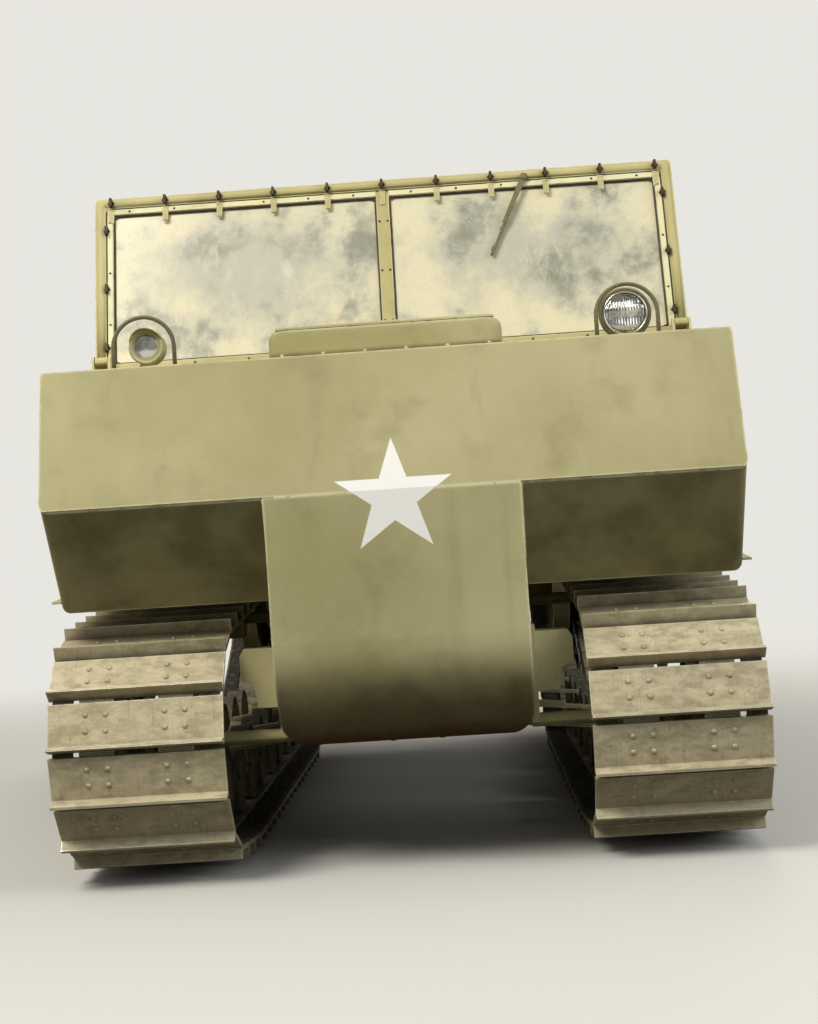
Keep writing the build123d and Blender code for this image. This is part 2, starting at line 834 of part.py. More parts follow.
# Sprockets: two plain rims under the belts and a toothed ring between them
tooth_root = sprocket_radius - rim_thickness - tooth_height / 2
tooth_tip = sprocket_radius - disc_recess / 2
with BuildPart() as sprockets:
    with BuildSketch(Plane.XY.offset(sprocket_height)):
        for side in (-1, 1):
            with Locations((track_centre + side * belt_offset, sprocket_y + sprocket_radius - rim_thickness / 2)):
                Rectangle(sprocket_rim_width, rim_thickness - 2 * fit_gap)
            web_x = track_centre + side * (belt_offset - sprocket_rim_width / 3)
            with Locations((web_x, sprocket_y + (sprocket_radius - rim_thickness + hub_radius) / 2)):
                Rectangle(disc_thickness, sprocket_radius - rim_thickness - hub_radius + 2)
        with Locations((track_centre, sprocket_y + (tooth_root + hub_radius) / 2)):
            Rectangle(tooth_width, tooth_root - hub_radius + 2)
        with Locations((track_centre, sprocket_y + (hub_radius + axle_radius) / 2)):
            Rectangle(2 * belt_offset, hub_radius - axle_radius)
    revolve(axis=Axis((0, sprocket_y, sprocket_height), (1, 0, 0)))
    with BuildSketch(Plane.YZ.offset(track_centre - tooth_width / 2)):
        with Locations((sprocket_y, sprocket_height)):
            with PolarLocations(0, tooth_count):
                Polygon(
                    (tooth_root - 4, -tooth_height),
                    (tooth_tip, -tooth_height / 3),
                    (tooth_tip, tooth_height / 3),
                    (tooth_root - 4, tooth_height),
                    align=None,
                )
    extrude(amount=tooth_width)
    mirror(about=Plane.YZ)
sprockets.part.label = "sprockets"
export_step(sprockets.part, "parts/sprockets.step")

# Road wheels: eight pairs a side, a rubber tyre round a disc that is sunk on its outer face
with BuildPart() as road_wheels:
    for wheel_y in wheel_ys:
        for side in (-1, 1):
            with BuildSketch(Plane.XY.offset(wheel_height)):
                with BuildLine():
                    outer_x = track_centre + side * (belt_offset + wheel_width / 2)
                    inner_x = track_centre + side * (belt_offset - wheel_width / 2)
                    tyre_root = wheel_y + wheel_radius - tyre_thickness
                    Polyline(
                        (inner_x, wheel_y + axle_radius + fit_gap),
                        (inner_x, wheel_y + wheel_radius - fit_gap),
                        (outer_x, wheel_y + wheel_radius - fit_gap),
                        (outer_x, tyre_root),
                        (outer_x - side * disc_recess, tyre_root - disc_recess),
                        (outer_x - side * disc_recess, wheel_y + axle_radius + fit_gap),
                        close=True,
                    )
                make_face()
            revolve(axis=Axis((0, wheel_y, wheel_height), (1, 0, 0)))
    mirror(about=Plane.YZ)
road_wheels.part.label = "road_wheels"
export_step(road_wheels.part, "parts/road_wheels.step")

# Bogies: a rocking beam with two axles carries each two wheel pairs
beam_top = wheel_height + beam_rise
beam_end = 1.5 * axle_radius
with BuildPart() as bogies:
    for front_wheel_y, rear_wheel_y in zip(wheel_ys[::2], wheel_ys[1::2]):
        middle_y = (front_wheel_y + rear_wheel_y) / 2
        with BuildSketch(Plane.YZ.offset(track_centre - beam_width / 2)):
            with Locations((front_wheel_y, wheel_height), (rear_wheel_y, wheel_height)):
                Circle(beam_end)
            with Locations((middle_y, beam_top - beam_end)):
                Rectangle(leaf_width, 2 * beam_end)
            make_hull()
        extrude(amount=beam_width)
        for wheel_y in (front_wheel_y, rear_wheel_y):
            with Locations(Location((track_centre, wheel_y, wheel_height), (0, 90, 0))):
                Cylinder(axle_radius, 2 * belt_offset + wheel_width)
    mirror(about=Plane.YZ)
bogies.part.label = "bogies"
export_step(bogies.part, "parts/bogies.step")

# Leaf springs: four crosswise packs under the belly, arched, with the bogies on their ends
leaf_half = track_centre + beam_width / 2
spring_low = beam_top + fit_gap
spring_crown = belly_height - clip_height / 3 - leaf_count * leaf_thickness
leaf_rise = spring_crown - spring_low
leaf_bend = (leaf_half**2 + leaf_rise**2) / (2 * leaf_rise)
with BuildPart() as leaf_springs:
    for front_wheel_y, rear_wheel_y in zip(wheel_ys[::2], wheel_ys[1::2]):
        middle_y = (front_wheel_y + rear_wheel_y) / 2
        with BuildSketch(Plane.XZ.offset(-(middle_y + leaf_width / 2))):
            for index in range(leaf_count):
                inner = leaf_bend + index * leaf_thickness
                half_turn = degrees(leaf_half * (1 - index / leaf_count) / leaf_bend)
                centre = (0, spring_crown - leaf_bend)
                add(ring_sector(centre, inner, inner + leaf_thickness, 90 - half_turn, 2 * half_turn))
        extrude(amount=leaf_width)
        clip_low = spring_crown - clip_height
        with Locations((0, middle_y, (belly_height + clip_low) / 2)):
            Box(clip_width, clip_length, belly_height - clip_low)
leaf_springs.part.label = "leaf_springs"
export_step(leaf_springs.part, "parts/leaf_springs.step")

# Return rollers on stub axles under the upper run
upper_run = loop_face(0).edges().filter_by(GeomType.LINE).sort_by(Axis.Y)[-1]
upper_start, upper_end = ((point.X, point.Y) for point in (upper_run @ 0, upper_run @ 1))
down_run = left_of(unit(*sorted((upper_start, upper_end), reverse=True)))
with BuildPart() as return_rollers:
    for roller_y in roller_ys:
        touch = crossing(upper_start, unit(upper_start, upper_end), (roller_y, 0), (0, 1))
        centre = shifted(touch, down_run, roller_radius + fit_gap)
        for side in (-1, 1):
            with Locations(Location((track_centre + side * belt_offset, *centre), (0, 90, 0))):
                Cylinder(roller_radius, wheel_width)
        axle_end = track_centre + belt_offset + (wheel_width + axle_radius) / 2
        with Locations(Location(((half_tub + axle_end) / 2, *centre), (0, 90, 0))):
            Cylinder(axle_radius, axle_end - half_tub)
        with Locations(Location((half_tub + arm_plate / 2, *centre), (0, 90, 0))):
            Cylinder(2.5 * axle_radius, arm_plate)
    mirror(about=Plane.YZ)
return_rollers.part.label = "return_rollers"
export_step(return_rollers.part, "parts/return_rollers.step")

# Idler arms: a stepped casting on each hull side, with the idler's axle at its foot
arm_step = (arm_height + idler_height) / 2 + axle_radius / 2
with BuildPart() as idler_arms:
    with BuildSketch(Plane.YZ.offset(half_tub)):
        with BuildLine():
            Polyline(
                (idler_y - 0.75 * arm_reach, arm_height),
                (idler_y + 0.75 * arm_reach, arm_height),
                (idler_y + 0.5 * arm_reach, idler_height),
                (idler_y - 0.5 * arm_reach, idler_height),
                close=True,
            )
        make_face()
    extrude(amount=arm_plate)
    with BuildSketch(Plane.XZ.offset(-(idler_y - arm_reach / 2))):
        with BuildLine():
            Polyline(
                (half_tub, arm_height - arm_plate),
                (half_tub + 0.9 * arm_reach, arm_height - arm_plate),
                (half_tub + arm_reach, arm_height - 2 * arm_plate),
                (half_tub + arm_reach, arm_step + arm_plate),
                (half_tub + 0.7 * arm_reach, arm_step),
                (half_tub + 0.65 * arm_reach, arm_step - 3 * arm_plate),
                (half_tub, arm_step - 3 * arm_plate),
                close=True,
            )
        make_face()
    extrude(amount=-arm_reach)
    axle_end = track_centre + belt_offset
    with Locations(Location(((half_tub + axle_end) / 2, idler_y, idler_height), (0, 90, 0))):
        Cylinder(axle_radius, axle_end - half_tub)
    mirror(about=Plane.YZ)
idler_arms.part.label = "idler_arms"
export_step(idler_arms.part, "parts/idler_arms.step")

# Rear axle ends: flanged tubes from the hull sides, with the shafts that carry the sprockets
with BuildPart() as rear_axle:
    with Locations(Location((half_tub + arm_plate / 2, sprocket_y, sprocket_height), (0, 90, 0))):
        Cylinder(axle_flange_radius, arm_plate)
    tube_end = track_centre - belt_offset - fit_gap
    with Locations(Location(((half_tub + tube_end) / 2, sprocket_y, sprocket_height), (0, 90, 0))):
        Cylinder(axle_tube_radius, tube_end - half_tub)
    shaft_end = track_centre + belt_offset
    with Locations(Location(((half_tub + shaft_end) / 2, sprocket_y, sprocket_height), (0, 90, 0))):
        Cylinder(axle_radius - fit_gap, shaft_end - half_tub)
    mirror(about=Plane.YZ)
rear_axle.part.label = "rear_axle"
export_step(rear_axle.part, "parts/rear_axle.step")

# Engine, a plain block inside its sheet-metal cover, and the cover's lid
engine_y = engine_front_y + engine_length / 2
tub_floor = belly_height + hull_wall
with BuildPart() as engine_block:
    with Locations((engine_x, engine_y, tub_floor + engine_mount_height + engine_height / 2)):
        Box(engine_width, engine_length, engine_height)
    with Locations((engine_x, engine_y, tub_floor + engine_mount_height / 2)):
        Box(0.65 * engine_width, 0.7 * engine_length, engine_mount_height)
engine_block.part.label = "engine_block"
export_step(engine_block.part, "parts/engine_block.step")

cover_width = engine_width + 2 * cover_gap + 2 * cover_wall
cover_length = engine_length + 2 * cover_gap + 2 * cover_wall
cover_side_x = engine_x - cover_width / 2
cover_hinge_x = cover_side_x - cover_lid_lip - knuckle_radius
cover_hinge_height = cover_top + fit_gap + lid_thickness / 2
cover_hinges = [
    hinge_plane(cover_hinge_x, y, cover_hinge_height, (1, 0, 0))
    for y in (engine_y - cover_length / 3, engine_y + cover_length / 3)
]
with BuildPart() as engine_cover:
    with BuildSketch(Plane.XY.offset(tub_floor)):
        with Locations((engine_x, engine_y)):
            RectangleRounded(cover_width, cover_length, 3 * cover_wall)
            RectangleRounded(
                cover_width - 2 * cover_wall, cover_length - 2 * cover_wall, 2 * cover_wall, mode=Mode.SUBTRACT
            )
    extrude(amount=cover_top - tub_floor)
    add(tub_block(hull_wall + fit_gap), mode=Mode.INTERSECT)
    for plane in cover_hinges:
        add(hinge_ears(plane, -knuckle_radius, knuckle_radius, 2 * knuckle_radius))
        for side in (-1, 1):
            ear_y = plane.origin.Y + side * (knuckle_length / 2 + hinge_gap + ear_thickness / 2)
            bracket_reach = cover_lid_lip + 2 * knuckle_radius
            with Locations((cover_side_x - bracket_reach / 2 + 1, ear_y, cover_top - 2 * knuckle_radius)):
                Box(bracket_reach + 2, ear_thickness, 3 * knuckle_radius)
engine_cover.part.label = "engine_cover"
export_step(engine_cover.part, "parts/engine_cover.step")

with BuildPart() as engine_lid:
    with BuildSketch(Plane.XY.offset(cover_top + fit_gap)):
        with Locations((engine_x, engine_y)):
            RectangleRounded(cover_width + 2 * cover_lid_lip, cover_length + 2 * cover_lid_lip, 5 * cover_wall)
        for plane in cover_hinges:
            with Locations((cover_side_x - cover_lid_lip, plane.origin.Y)):
                Rectangle(2 * hinge_gap, 2 * ear_outside, mode=Mode.SUBTRACT)
    extrude(amount=lid_thickness)
    for plane in cover_hinges:
        add(hinge_knuckle(plane, 2 * knuckle_radius + hinge_gap, 0, lid_thickness))
engine_lid.part.label = "engine_lid"
export_step(engine_lid.part, "parts/engine_lid.step")

# Tool box on the right sponson and battery box on the left, each with a lid hinged outboard
box_hinge_x = box_outer_x - box_strip
box_hinge_height = box_top + knuckle_radius + fit_gap
box_rows = (("tool_box", -1, *tool_box_ys), ("battery_box", 1, *battery_box_ys))
for box_name, box_side, box_front_y, box_rear_y in box_rows:
    box_y = (box_front_y + box_rear_y) / 2
    box_length = box_rear_y - box_front_y
    start_x = box_inner_x if box_side > 0 else -box_outer_x
    box_hinges = [
        hinge_plane(box_side * (box_hinge_x + knuckle_radius), y, box_hinge_height, (-box_side, 0, 0))
        for y in (box_y - box_length / 4, box_y + box_length / 4)
    ]
    with BuildPart() as stowage_box:
        with BuildSketch(Plane.YZ.offset(start_x)):
            with BuildLine():
                Polyline(*floor_profile(box_front_y, box_rear_y, box_top), close=True)
            make_face()
        extrude(amount=box_outer_x - box_inner_x)
        offset(amount=-box_wall, openings=stowage_box.faces().sort_by(Axis.Z)[-1:])
        with BuildSketch(Plane.XY.offset(box_top - box_wall)):
            with Locations((box_side * (box_outer_x + box_hinge_x) / 2, box_y)):
                Rectangle(box_strip, box_length)
        extrude(amount=box_wall)
        for plane in box_hinges:
            add(hinge_ears(plane, -knuckle_radius, knuckle_radius, knuckle_radius + 2 * fit_gap))
    stowage_box.part.label = box_name
    export_step(stowage_box.part, f"parts/{box_name}.step")

    with BuildPart() as box_lid:
        with BuildSketch(Plane.XY.offset(box_top + fit_gap)):
            with Locations((box_side * (box_inner_x + box_hinge_x) / 2, box_y)):
                Rectangle(box_hinge_x - box_inner_x, box_length)
            for plane in box_hinges:
                with Locations((box_side * box_hinge_x, plane.origin.Y)):
                    Rectangle(2 * hinge_gap, 2 * ear_outside, mode=Mode.SUBTRACT)
        extrude(amount=lid_thickness)
        for plane in box_hinges:
            add(hinge_knuckle(plane, 2 * knuckle_radius + hinge_gap, -lid_thickness / 2, lid_thickness - 1))
    box_lid.part.label = f"{box_name}_lid"
    export_step(box_lid.part, f"parts/{box_name}_lid.step")

# Fuel tank on the right sponson, with its filler
tank_top = deck_height - tank_drop
tank_front_y, tank_rear_y = tank_ys
with BuildPart() as fuel_tank:
    with BuildSketch(Plane.YZ.offset(-box_outer_x)):
        with BuildLine():
            Polyline(*floor_profile(tank_front_y, tank_rear_y, tank_top), close=True)
        make_face()
    extrude(amount=box_outer_x - box_inner_x)
    fillet(fuel_tank.edges().filter_by(Axis.X), tank_corner)
    with Locations((-(box_outer_x + box_inner_x) / 2, tank_rear_y - 4 * tank_corner, tank_top + filler_height / 2)):
        Cylinder(filler_radius, filler_height)
fuel_tank.part.label = "fuel_tank"
export_step(fuel_tank.part, "parts/fuel_tank.step")

# Dash panel under the rear edge of the front deck: two dials and four gauges
dash_x = box_inner_x + dash_width * 0.27
dash_height = under_deck - dash_drop - dash_depth / 2
with BuildPart() as dash_panel:
    dash_plane = Plane.XZ.offset(-(deck_rear_y - hull_wall - fit_gap))
    with BuildSketch(dash_plane):
        with Locations((dash_x, dash_height)):
            RectangleRounded(dash_width, dash_depth, dash_depth / 10)
    extrude(amount=box_wall)
    with BuildSketch(dash_plane):
        with Locations((dash_x, dash_height)):
            with Locations((-0.19 * dash_width, 0), (0.06 * dash_width, 0)):
                Circle(dial_radius)
            with Locations((0.33 * dash_width, 0)):
                with GridLocations(0.125 * dash_width, dash_depth / 2.6, 2, 2):
                    Circle(gauge_radius)
    extrude(amount=-2 * box_wall)
dash_panel.part.label = "dash_panel"
export_step(dash_panel.part, "parts/dash_panel.step")

# Driver's seat: a pedestal on the left sponson with two posts, cushion and back
seat_x = half_hull - seat_gap - seat_width / 2
seat_base_top = sponson_floor(seat_rear_y) + seat_rise
with BuildPart() as driver_seat_frame:
    with BuildSketch(Plane.YZ.offset(seat_x - seat_width / 2)):
        with BuildLine():
            Polyline(*floor_profile(seat_front_y, seat_rear_y, seat_base_top), close=True)
        make_face()
    extrude(amount=seat_width)
    offset(amount=-box_wall, openings=driver_seat_frame.faces().sort_by(Axis.Z)[:1])
    post_low = seat_base_top - seat_tube
    for side in (-1, 1):
        with Locations((seat_x + side * (seat_width - seat_tube) / 2, seat_rear_y + seat_tube / 2, 0)):
            with Locations((0, 0, (post_low + back_top) / 2)):
                Box(seat_tube, seat_tube, back_top - post_low)
    with Locations((seat_x, seat_rear_y + seat_tube / 2, back_top - seat_tube / 2)):
        Box(seat_width, seat_tube, seat_tube)
driver_seat_frame.part.label = "driver_seat_frame"
export_step(driver_seat_frame.part, "parts/driver_seat_frame.step")

cushion_depth = seat_rear_y - seat_front_y - back_thickness - pad_gap
with BuildPart() as driver_seat_pads:
    with Locations((seat_x, seat_front_y + cushion_depth / 2, seat_base_top + fit_gap + cushion_thickness / 2)):
        Box(seat_width, cushion_depth, cushion_thickness)
    seat_back_low = seat_base_top + cushion_thickness + pad_gap
    with Locations((seat_x, seat_rear_y - fit_gap - back_thickness / 2, (seat_back_low + back_top) / 2)):
        Box(seat_width - pad_gap, back_thickness, back_top - seat_back_low)
driver_seat_pads.part.label = "driver_seat_pads"
export_step(driver_seat_pads.part, "parts/driver_seat_pads.step")

# Rear bench: a frame across the hull, three cushions and three backs
bench_half = half_hull - seat_gap
bench_top = sponson_floor(bench_rear_y) + bench_rise
bench_y = (bench_front_y + bench_rear_y) / 2
with BuildPart() as bench_frame:
    with Locations((0, bench_y, bench_top - bench_plate / 2)):
        Box(2 * bench_half, bench_rear_y - bench_front_y, bench_plate)
    for side in (-1, 1):
        start_x = half_tub + bench_plate if side > 0 else -bench_half
        with BuildSketch(Plane.YZ.offset(start_x)):
            with BuildLine():
                foot_ys = (bench_front_y + 1.5 * bench_plate, bench_rear_y - 1.5 * bench_plate)
                Polyline(*floor_profile(*foot_ys, bench_top - bench_plate / 2), close=True)
            make_face()
        extrude(amount=bench_half - half_tub - bench_plate)
    with Locations((0, bench_rear_y - seat_tube / 2, (bench_top + back_top) / 2)):
        with GridLocations((2 * bench_half - seat_tube) / bench_pads_across, 1, bench_pads_across + 1, 1):
            Box(seat_tube, seat_tube, back_top - bench_top)
    with Locations((0, bench_rear_y - seat_tube / 2, back_top - seat_tube / 2)):
        Box(2 * bench_half, seat_tube, seat_tube)
bench_frame.part.label = "bench_frame"
export_step(bench_frame.part, "parts/bench_frame.step")

pad_pitch = 2 * bench_half / bench_pads_across
bench_back_y = bench_rear_y - seat_tube - fit_gap - back_thickness / 2
bench_pad_depth = bench_back_y - back_thickness / 2 - bench_front_y
bench_back_low = bench_top + cushion_thickness + pad_gap
with BuildPart() as bench_pads:
    with Locations((0, bench_front_y + bench_pad_depth / 2, bench_top + fit_gap + cushion_thickness / 2)):
        with GridLocations(pad_pitch, 1, bench_pads_across, 1):
            Box(pad_pitch - pad_gap, bench_pad_depth - pad_gap, cushion_thickness)
    with Locations((0, bench_back_y, (bench_back_low + back_top) / 2)):
        with GridLocations(pad_pitch, 1, bench_pads_across, 1):
            Box(pad_pitch - pad_gap, back_thickness, back_top - bench_back_low)
bench_pads.part.label = "bench_pads"
export_step(bench_pads.part, "parts/bench_pads.step")

# Steering levers and pedals on the left sponson's floor
lever_floor = sponson_floor(lever_y)
lever_xs = (half_hull - lever_inset - lever_spacing, half_hull - lever_inset)
lever_half = 45
lever_radius = 9
grip_length = 90
pedal_floor = sponson_floor(pedal_y)
with BuildPart() as control_levers:
    for lever_x in lever_xs:
        with BuildSketch(Plane.YZ.offset(lever_x - 2 * lever_radius)):
            with BuildLine():
                Polyline(
                    *floor_profile(lever_y - lever_half, lever_y + lever_half, lever_floor + 4 * lever_radius),
                    close=True,
                )
            make_face()
        extrude(amount=4 * lever_radius)
        with Locations((lever_x, lever_y, lever_floor + (lever_height + lever_radius) / 2)):
            Cylinder(lever_radius, lever_height - 4 * lever_radius)
        with Locations((lever_x, lever_y, lever_floor + lever_height - grip_length / 2)):
            Cylinder(1.6 * lever_radius, grip_length)
    for pedal_x in lever_xs:
        with BuildSketch(Plane.YZ.offset(pedal_x - pedal_width / 2)):
            with BuildLine():
                Polyline(
                    (pedal_y - pedal_height / 3, pedal_floor + fit_gap + 12),
                    (pedal_y - pedal_height / 3, sponson_floor(pedal_y - pedal_height / 3) + fit_gap),
                    (pedal_y + 12, sponson_floor(pedal_y + 12) + fit_gap),
                    (pedal_y + 12, pedal_floor + 12),
                    (pedal_y, pedal_floor + 16),
                    (pedal_y - pedal_height / 3, pedal_floor + pedal_height),
                    (pedal_y - pedal_height / 3 - 12, pedal_floor + pedal_height),
                    (pedal_y - 16, pedal_floor + 12),
                    close=True,
                )
            make_face()
        extrude(amount=pedal_width)
control_levers.part.label = "control_levers"
export_step(control_levers.part, "parts/control_levers.step")

# Pintle hook on the transom, with a latch that swings up
throat = (stern_in_y + pintle_base + throat_radius + hook_band + 4, pintle_height)
latch_pin = (throat[0] - 26, throat[1] + 28)
latch_pin_radius = 4
mouth_start, mouth_end = 18, 128
hook_turn = 360 - mouth_end + mouth_start
with BuildPart() as tow_pintle:
    with BuildSketch(Plane.XZ.offset(-stern_in_y)):
        with Locations((0, pintle_height)):
            RectangleRounded(120, 130, 16)
    extrude(amount=-pintle_base)
    with BuildSketch(Plane.YZ.offset(-pintle_width / 2)):
        add(ring_sector(throat, throat_radius, throat_radius + hook_band, mouth_end, hook_turn))
        with Locations((stern_in_y + pintle_base + 4, pintle_height)):
            Rectangle(8 + fit_gap, 70)
        with Locations(latch_pin):
            Circle(11)
        with Locations((latch_pin[0] - 6, latch_pin[1] - 8)):
            Rectangle(14, 22)
    extrude(amount=pintle_width)
    with BuildSketch(Plane.YZ.offset(-latch_width / 2 - 1)):
        with Locations(latch_pin):
            Circle(12)
        with Locations((latch_pin[0] + 10, latch_pin[1] + 6)):
            Rectangle(30, 24)
    extrude(amount=latch_width + 2, mode=Mode.SUBTRACT)
    with Locations(Location((0, *latch_pin), (0, 90, 0))):
        Cylinder(latch_pin_radius, pintle_width)
tow_pintle.part.label = "tow_pintle"
export_step(tow_pintle.part, "parts/tow_pintle.step")

with BuildPart() as pintle_latch:
    with BuildSketch(Plane.YZ.offset(-latch_width / 2)):
        latch_turn = mouth_end - mouth_start - 2
        add(ring_sector(throat, throat_radius, throat_radius + hook_band - 3, mouth_start + 1, latch_turn))
        with Locations(latch_pin):
            Circle(9)
        with Locations(latch_pin):
            Circle(latch_pin_radius + fit_gap, mode=Mode.SUBTRACT)
    extrude(amount=latch_width)
pintle_latch.part.label = "pintle_latch"
export_step(pintle_latch.part, "parts/pintle_latch.step")

# Tow eyes on the transom
eye_wall = 13
eye_base = 8
eye_y = stern_in_y + eye_radius + eye_wall + eye_base / 2
with BuildPart() as tow_eyes:
    with BuildSketch(Plane.XZ.offset(-stern_in_y)):
        with Locations((eye_x, eye_height)):
            RectangleRounded(64, 84, 8)
    extrude(amount=-eye_base)
    with BuildSketch(Plane.YZ.offset(eye_x - eye_width / 2)):
        with Locations((eye_y, eye_height)):
            Circle(eye_radius + eye_wall)
        with Locations((eye_y - (eye_radius + eye_wall) / 2, eye_height)):
            Rectangle(eye_radius + eye_wall, 2 * (eye_radius + eye_wall))
        with Locations((eye_y, eye_height)):
            Circle(eye_radius, mode=Mode.SUBTRACT)
    extrude(amount=eye_width)
    mirror(about=Plane.YZ)
tow_eyes.part.label = "tow_eyes"
export_step(tow_eyes.part, "parts/tow_eyes.step")

# Tail lamps on the rear plate
tail_lamp_depth = 32
tail_lamp_place = (half_hull - tail_lamp_inset, stern_y + tail_lamp_depth / 2, deck_height - tail_lamp_drop)
with BuildPart() as tail_lamps:
    with Locations(Location(tail_lamp_place, (90, 0, 0))):
        Cylinder(tail_lamp_radius, tail_lamp_depth)
    fillet(tail_lamps.faces().sort_by(Axis.Y)[-1].edges(), tail_lamp_depth / 6)
    mirror(about=Plane.YZ)
tail_lamps.part.label = "tail_lamps"
export_step(tail_lamps.part, "parts/tail_lamps.step")
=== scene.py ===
"""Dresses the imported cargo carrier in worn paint, steel, rubber, glass and canvas, and lights it."""

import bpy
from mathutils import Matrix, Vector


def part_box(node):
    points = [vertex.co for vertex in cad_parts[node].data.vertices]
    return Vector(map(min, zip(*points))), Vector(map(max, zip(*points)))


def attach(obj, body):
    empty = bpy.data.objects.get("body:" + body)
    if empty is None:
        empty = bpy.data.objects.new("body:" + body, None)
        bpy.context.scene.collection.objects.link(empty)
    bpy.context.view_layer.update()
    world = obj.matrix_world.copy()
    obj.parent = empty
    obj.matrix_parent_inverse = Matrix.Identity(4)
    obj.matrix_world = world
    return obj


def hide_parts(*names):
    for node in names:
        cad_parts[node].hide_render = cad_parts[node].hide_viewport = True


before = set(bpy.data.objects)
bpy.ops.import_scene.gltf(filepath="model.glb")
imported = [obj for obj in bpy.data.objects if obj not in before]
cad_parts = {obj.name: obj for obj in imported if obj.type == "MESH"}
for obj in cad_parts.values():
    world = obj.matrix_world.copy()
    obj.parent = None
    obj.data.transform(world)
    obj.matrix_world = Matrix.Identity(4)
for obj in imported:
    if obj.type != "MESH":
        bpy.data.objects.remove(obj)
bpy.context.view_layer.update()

import logging
import math
from dataclasses import dataclass, field
from enum import Enum
from itertools import product
from typing import Callable, Sequence

import bpy
from mathutils import Matrix, Vector, noise
from mathutils.bvhtree import BVHTree

log = logging.getLogger("carrier")
Colour = tuple[float, float, float]
Point = tuple[float, float]
Material = bpy.types.Material
UP = Vector((0, 0, 1))
FORWARD = Vector((0, -1, 0))
RIGHT = Vector((1, 0, 0))
SIDES = (-1, 1)


class Body(Enum):
    """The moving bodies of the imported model."""

    HULL = "hull"
    WINDSHIELD = "windshield"
    WIPER = "wiper"
    ENGINE_LID = "engine_lid"
    TOOL_LID = "tool_box_lid"
    BATTERY_LID = "battery_box_lid"
    VENT_LID = "vent_lid"


class Slot(Enum):
    """The record's material slots, which new pieces are handed but do not use."""

    PAINT = "olive_paint"
    CHASSIS = "chassis_paint"
    TRACK = "track_steel"
    TYRE = "tyre_rubber"
    LAMP = "lamp_glass"
    CANVAS = "seat_canvas"
    TRIM = "dark_trim"


class Marking(Enum):
    """What a painted plate carries besides its paint."""

    NONE = "none"
    STAR = "star"


def linear(red: int, green: int, blue: int) -> tuple[float, float, float, float]:
    """Turns a colour of 0 to 255 a channel into the linear values that a socket takes.

    Args:
        red: Red, 0 to 255.
        green: Green, 0 to 255.
        blue: Blue, 0 to 255.

    Returns:
        Linear red, green and blue with full opacity.
    """
    def straight(level: float) -> float:
        """Removes the display's curve from one channel."""
        return level / 12.92 if level <= 0.04045 else ((level + 0.055) / 1.055) ** 2.4

    return (straight(red / 255), straight(green / 255), straight(blue / 255), 1.0)


def joins(operation: str, swapped: bool = False) -> Callable[..., "Level"]:
    """Makes one of Level's methods, which adds a Math node.

    Args:
        operation: The node's operation.
        swapped: Whether the other number comes first.

    Returns:
        The method.
    """
    def method(self: "Level", other: "Level | float" = 0.0) -> "Level":
        """Adds the node over this number and the other."""
        pair = (other, self) if swapped else (self, other)
        return self.graph.level("ShaderNodeMath", {"operation": operation}, dict(enumerate(pair)))

    return method


class Level:
    """A number in a material that Python's operators work on: each operator adds a Math node."""

    def __init__(self, graph: "Graph", socket: bpy.types.NodeSocket) -> None:
        """Wraps a socket that gives a number in a graph."""
        self.graph, self.socket = graph, socket

    __add__ = __radd__ = joins("ADD")
    __sub__ = joins("SUBTRACT")
    __rsub__ = joins("SUBTRACT", swapped=True)
    __mul__ = __rmul__ = joins("MULTIPLY")
    __truediv__ = joins("DIVIDE")
    __mod__ = joins("FLOORED_MODULO")
    __lt__ = joins("LESS_THAN")
    __gt__ = joins("GREATER_THAN")
    __abs__ = joins("ABSOLUTE")
    root = joins("SQRT")
    wave = joins("SINE")
    most = joins("MAXIMUM")
    least = joins("MINIMUM")

    def rise(self, low: float, high: float) -> "Level":
        """Climbs smoothly from nought at one value to one at another.

        Args:
            low: Where the result is nought.
            high: Where the result is one.

        Returns:
            The climb, held between nought and one.
        """
        settings = {"interpolation_type": "SMOOTHSTEP"}
        if low < high:
            return self.graph.level("ShaderNodeMapRange", settings, {0: self, 1: low, 2: high})
        return 1 - self.graph.level("ShaderNodeMapRange", settings, {0: self, 1: high, 2: low})


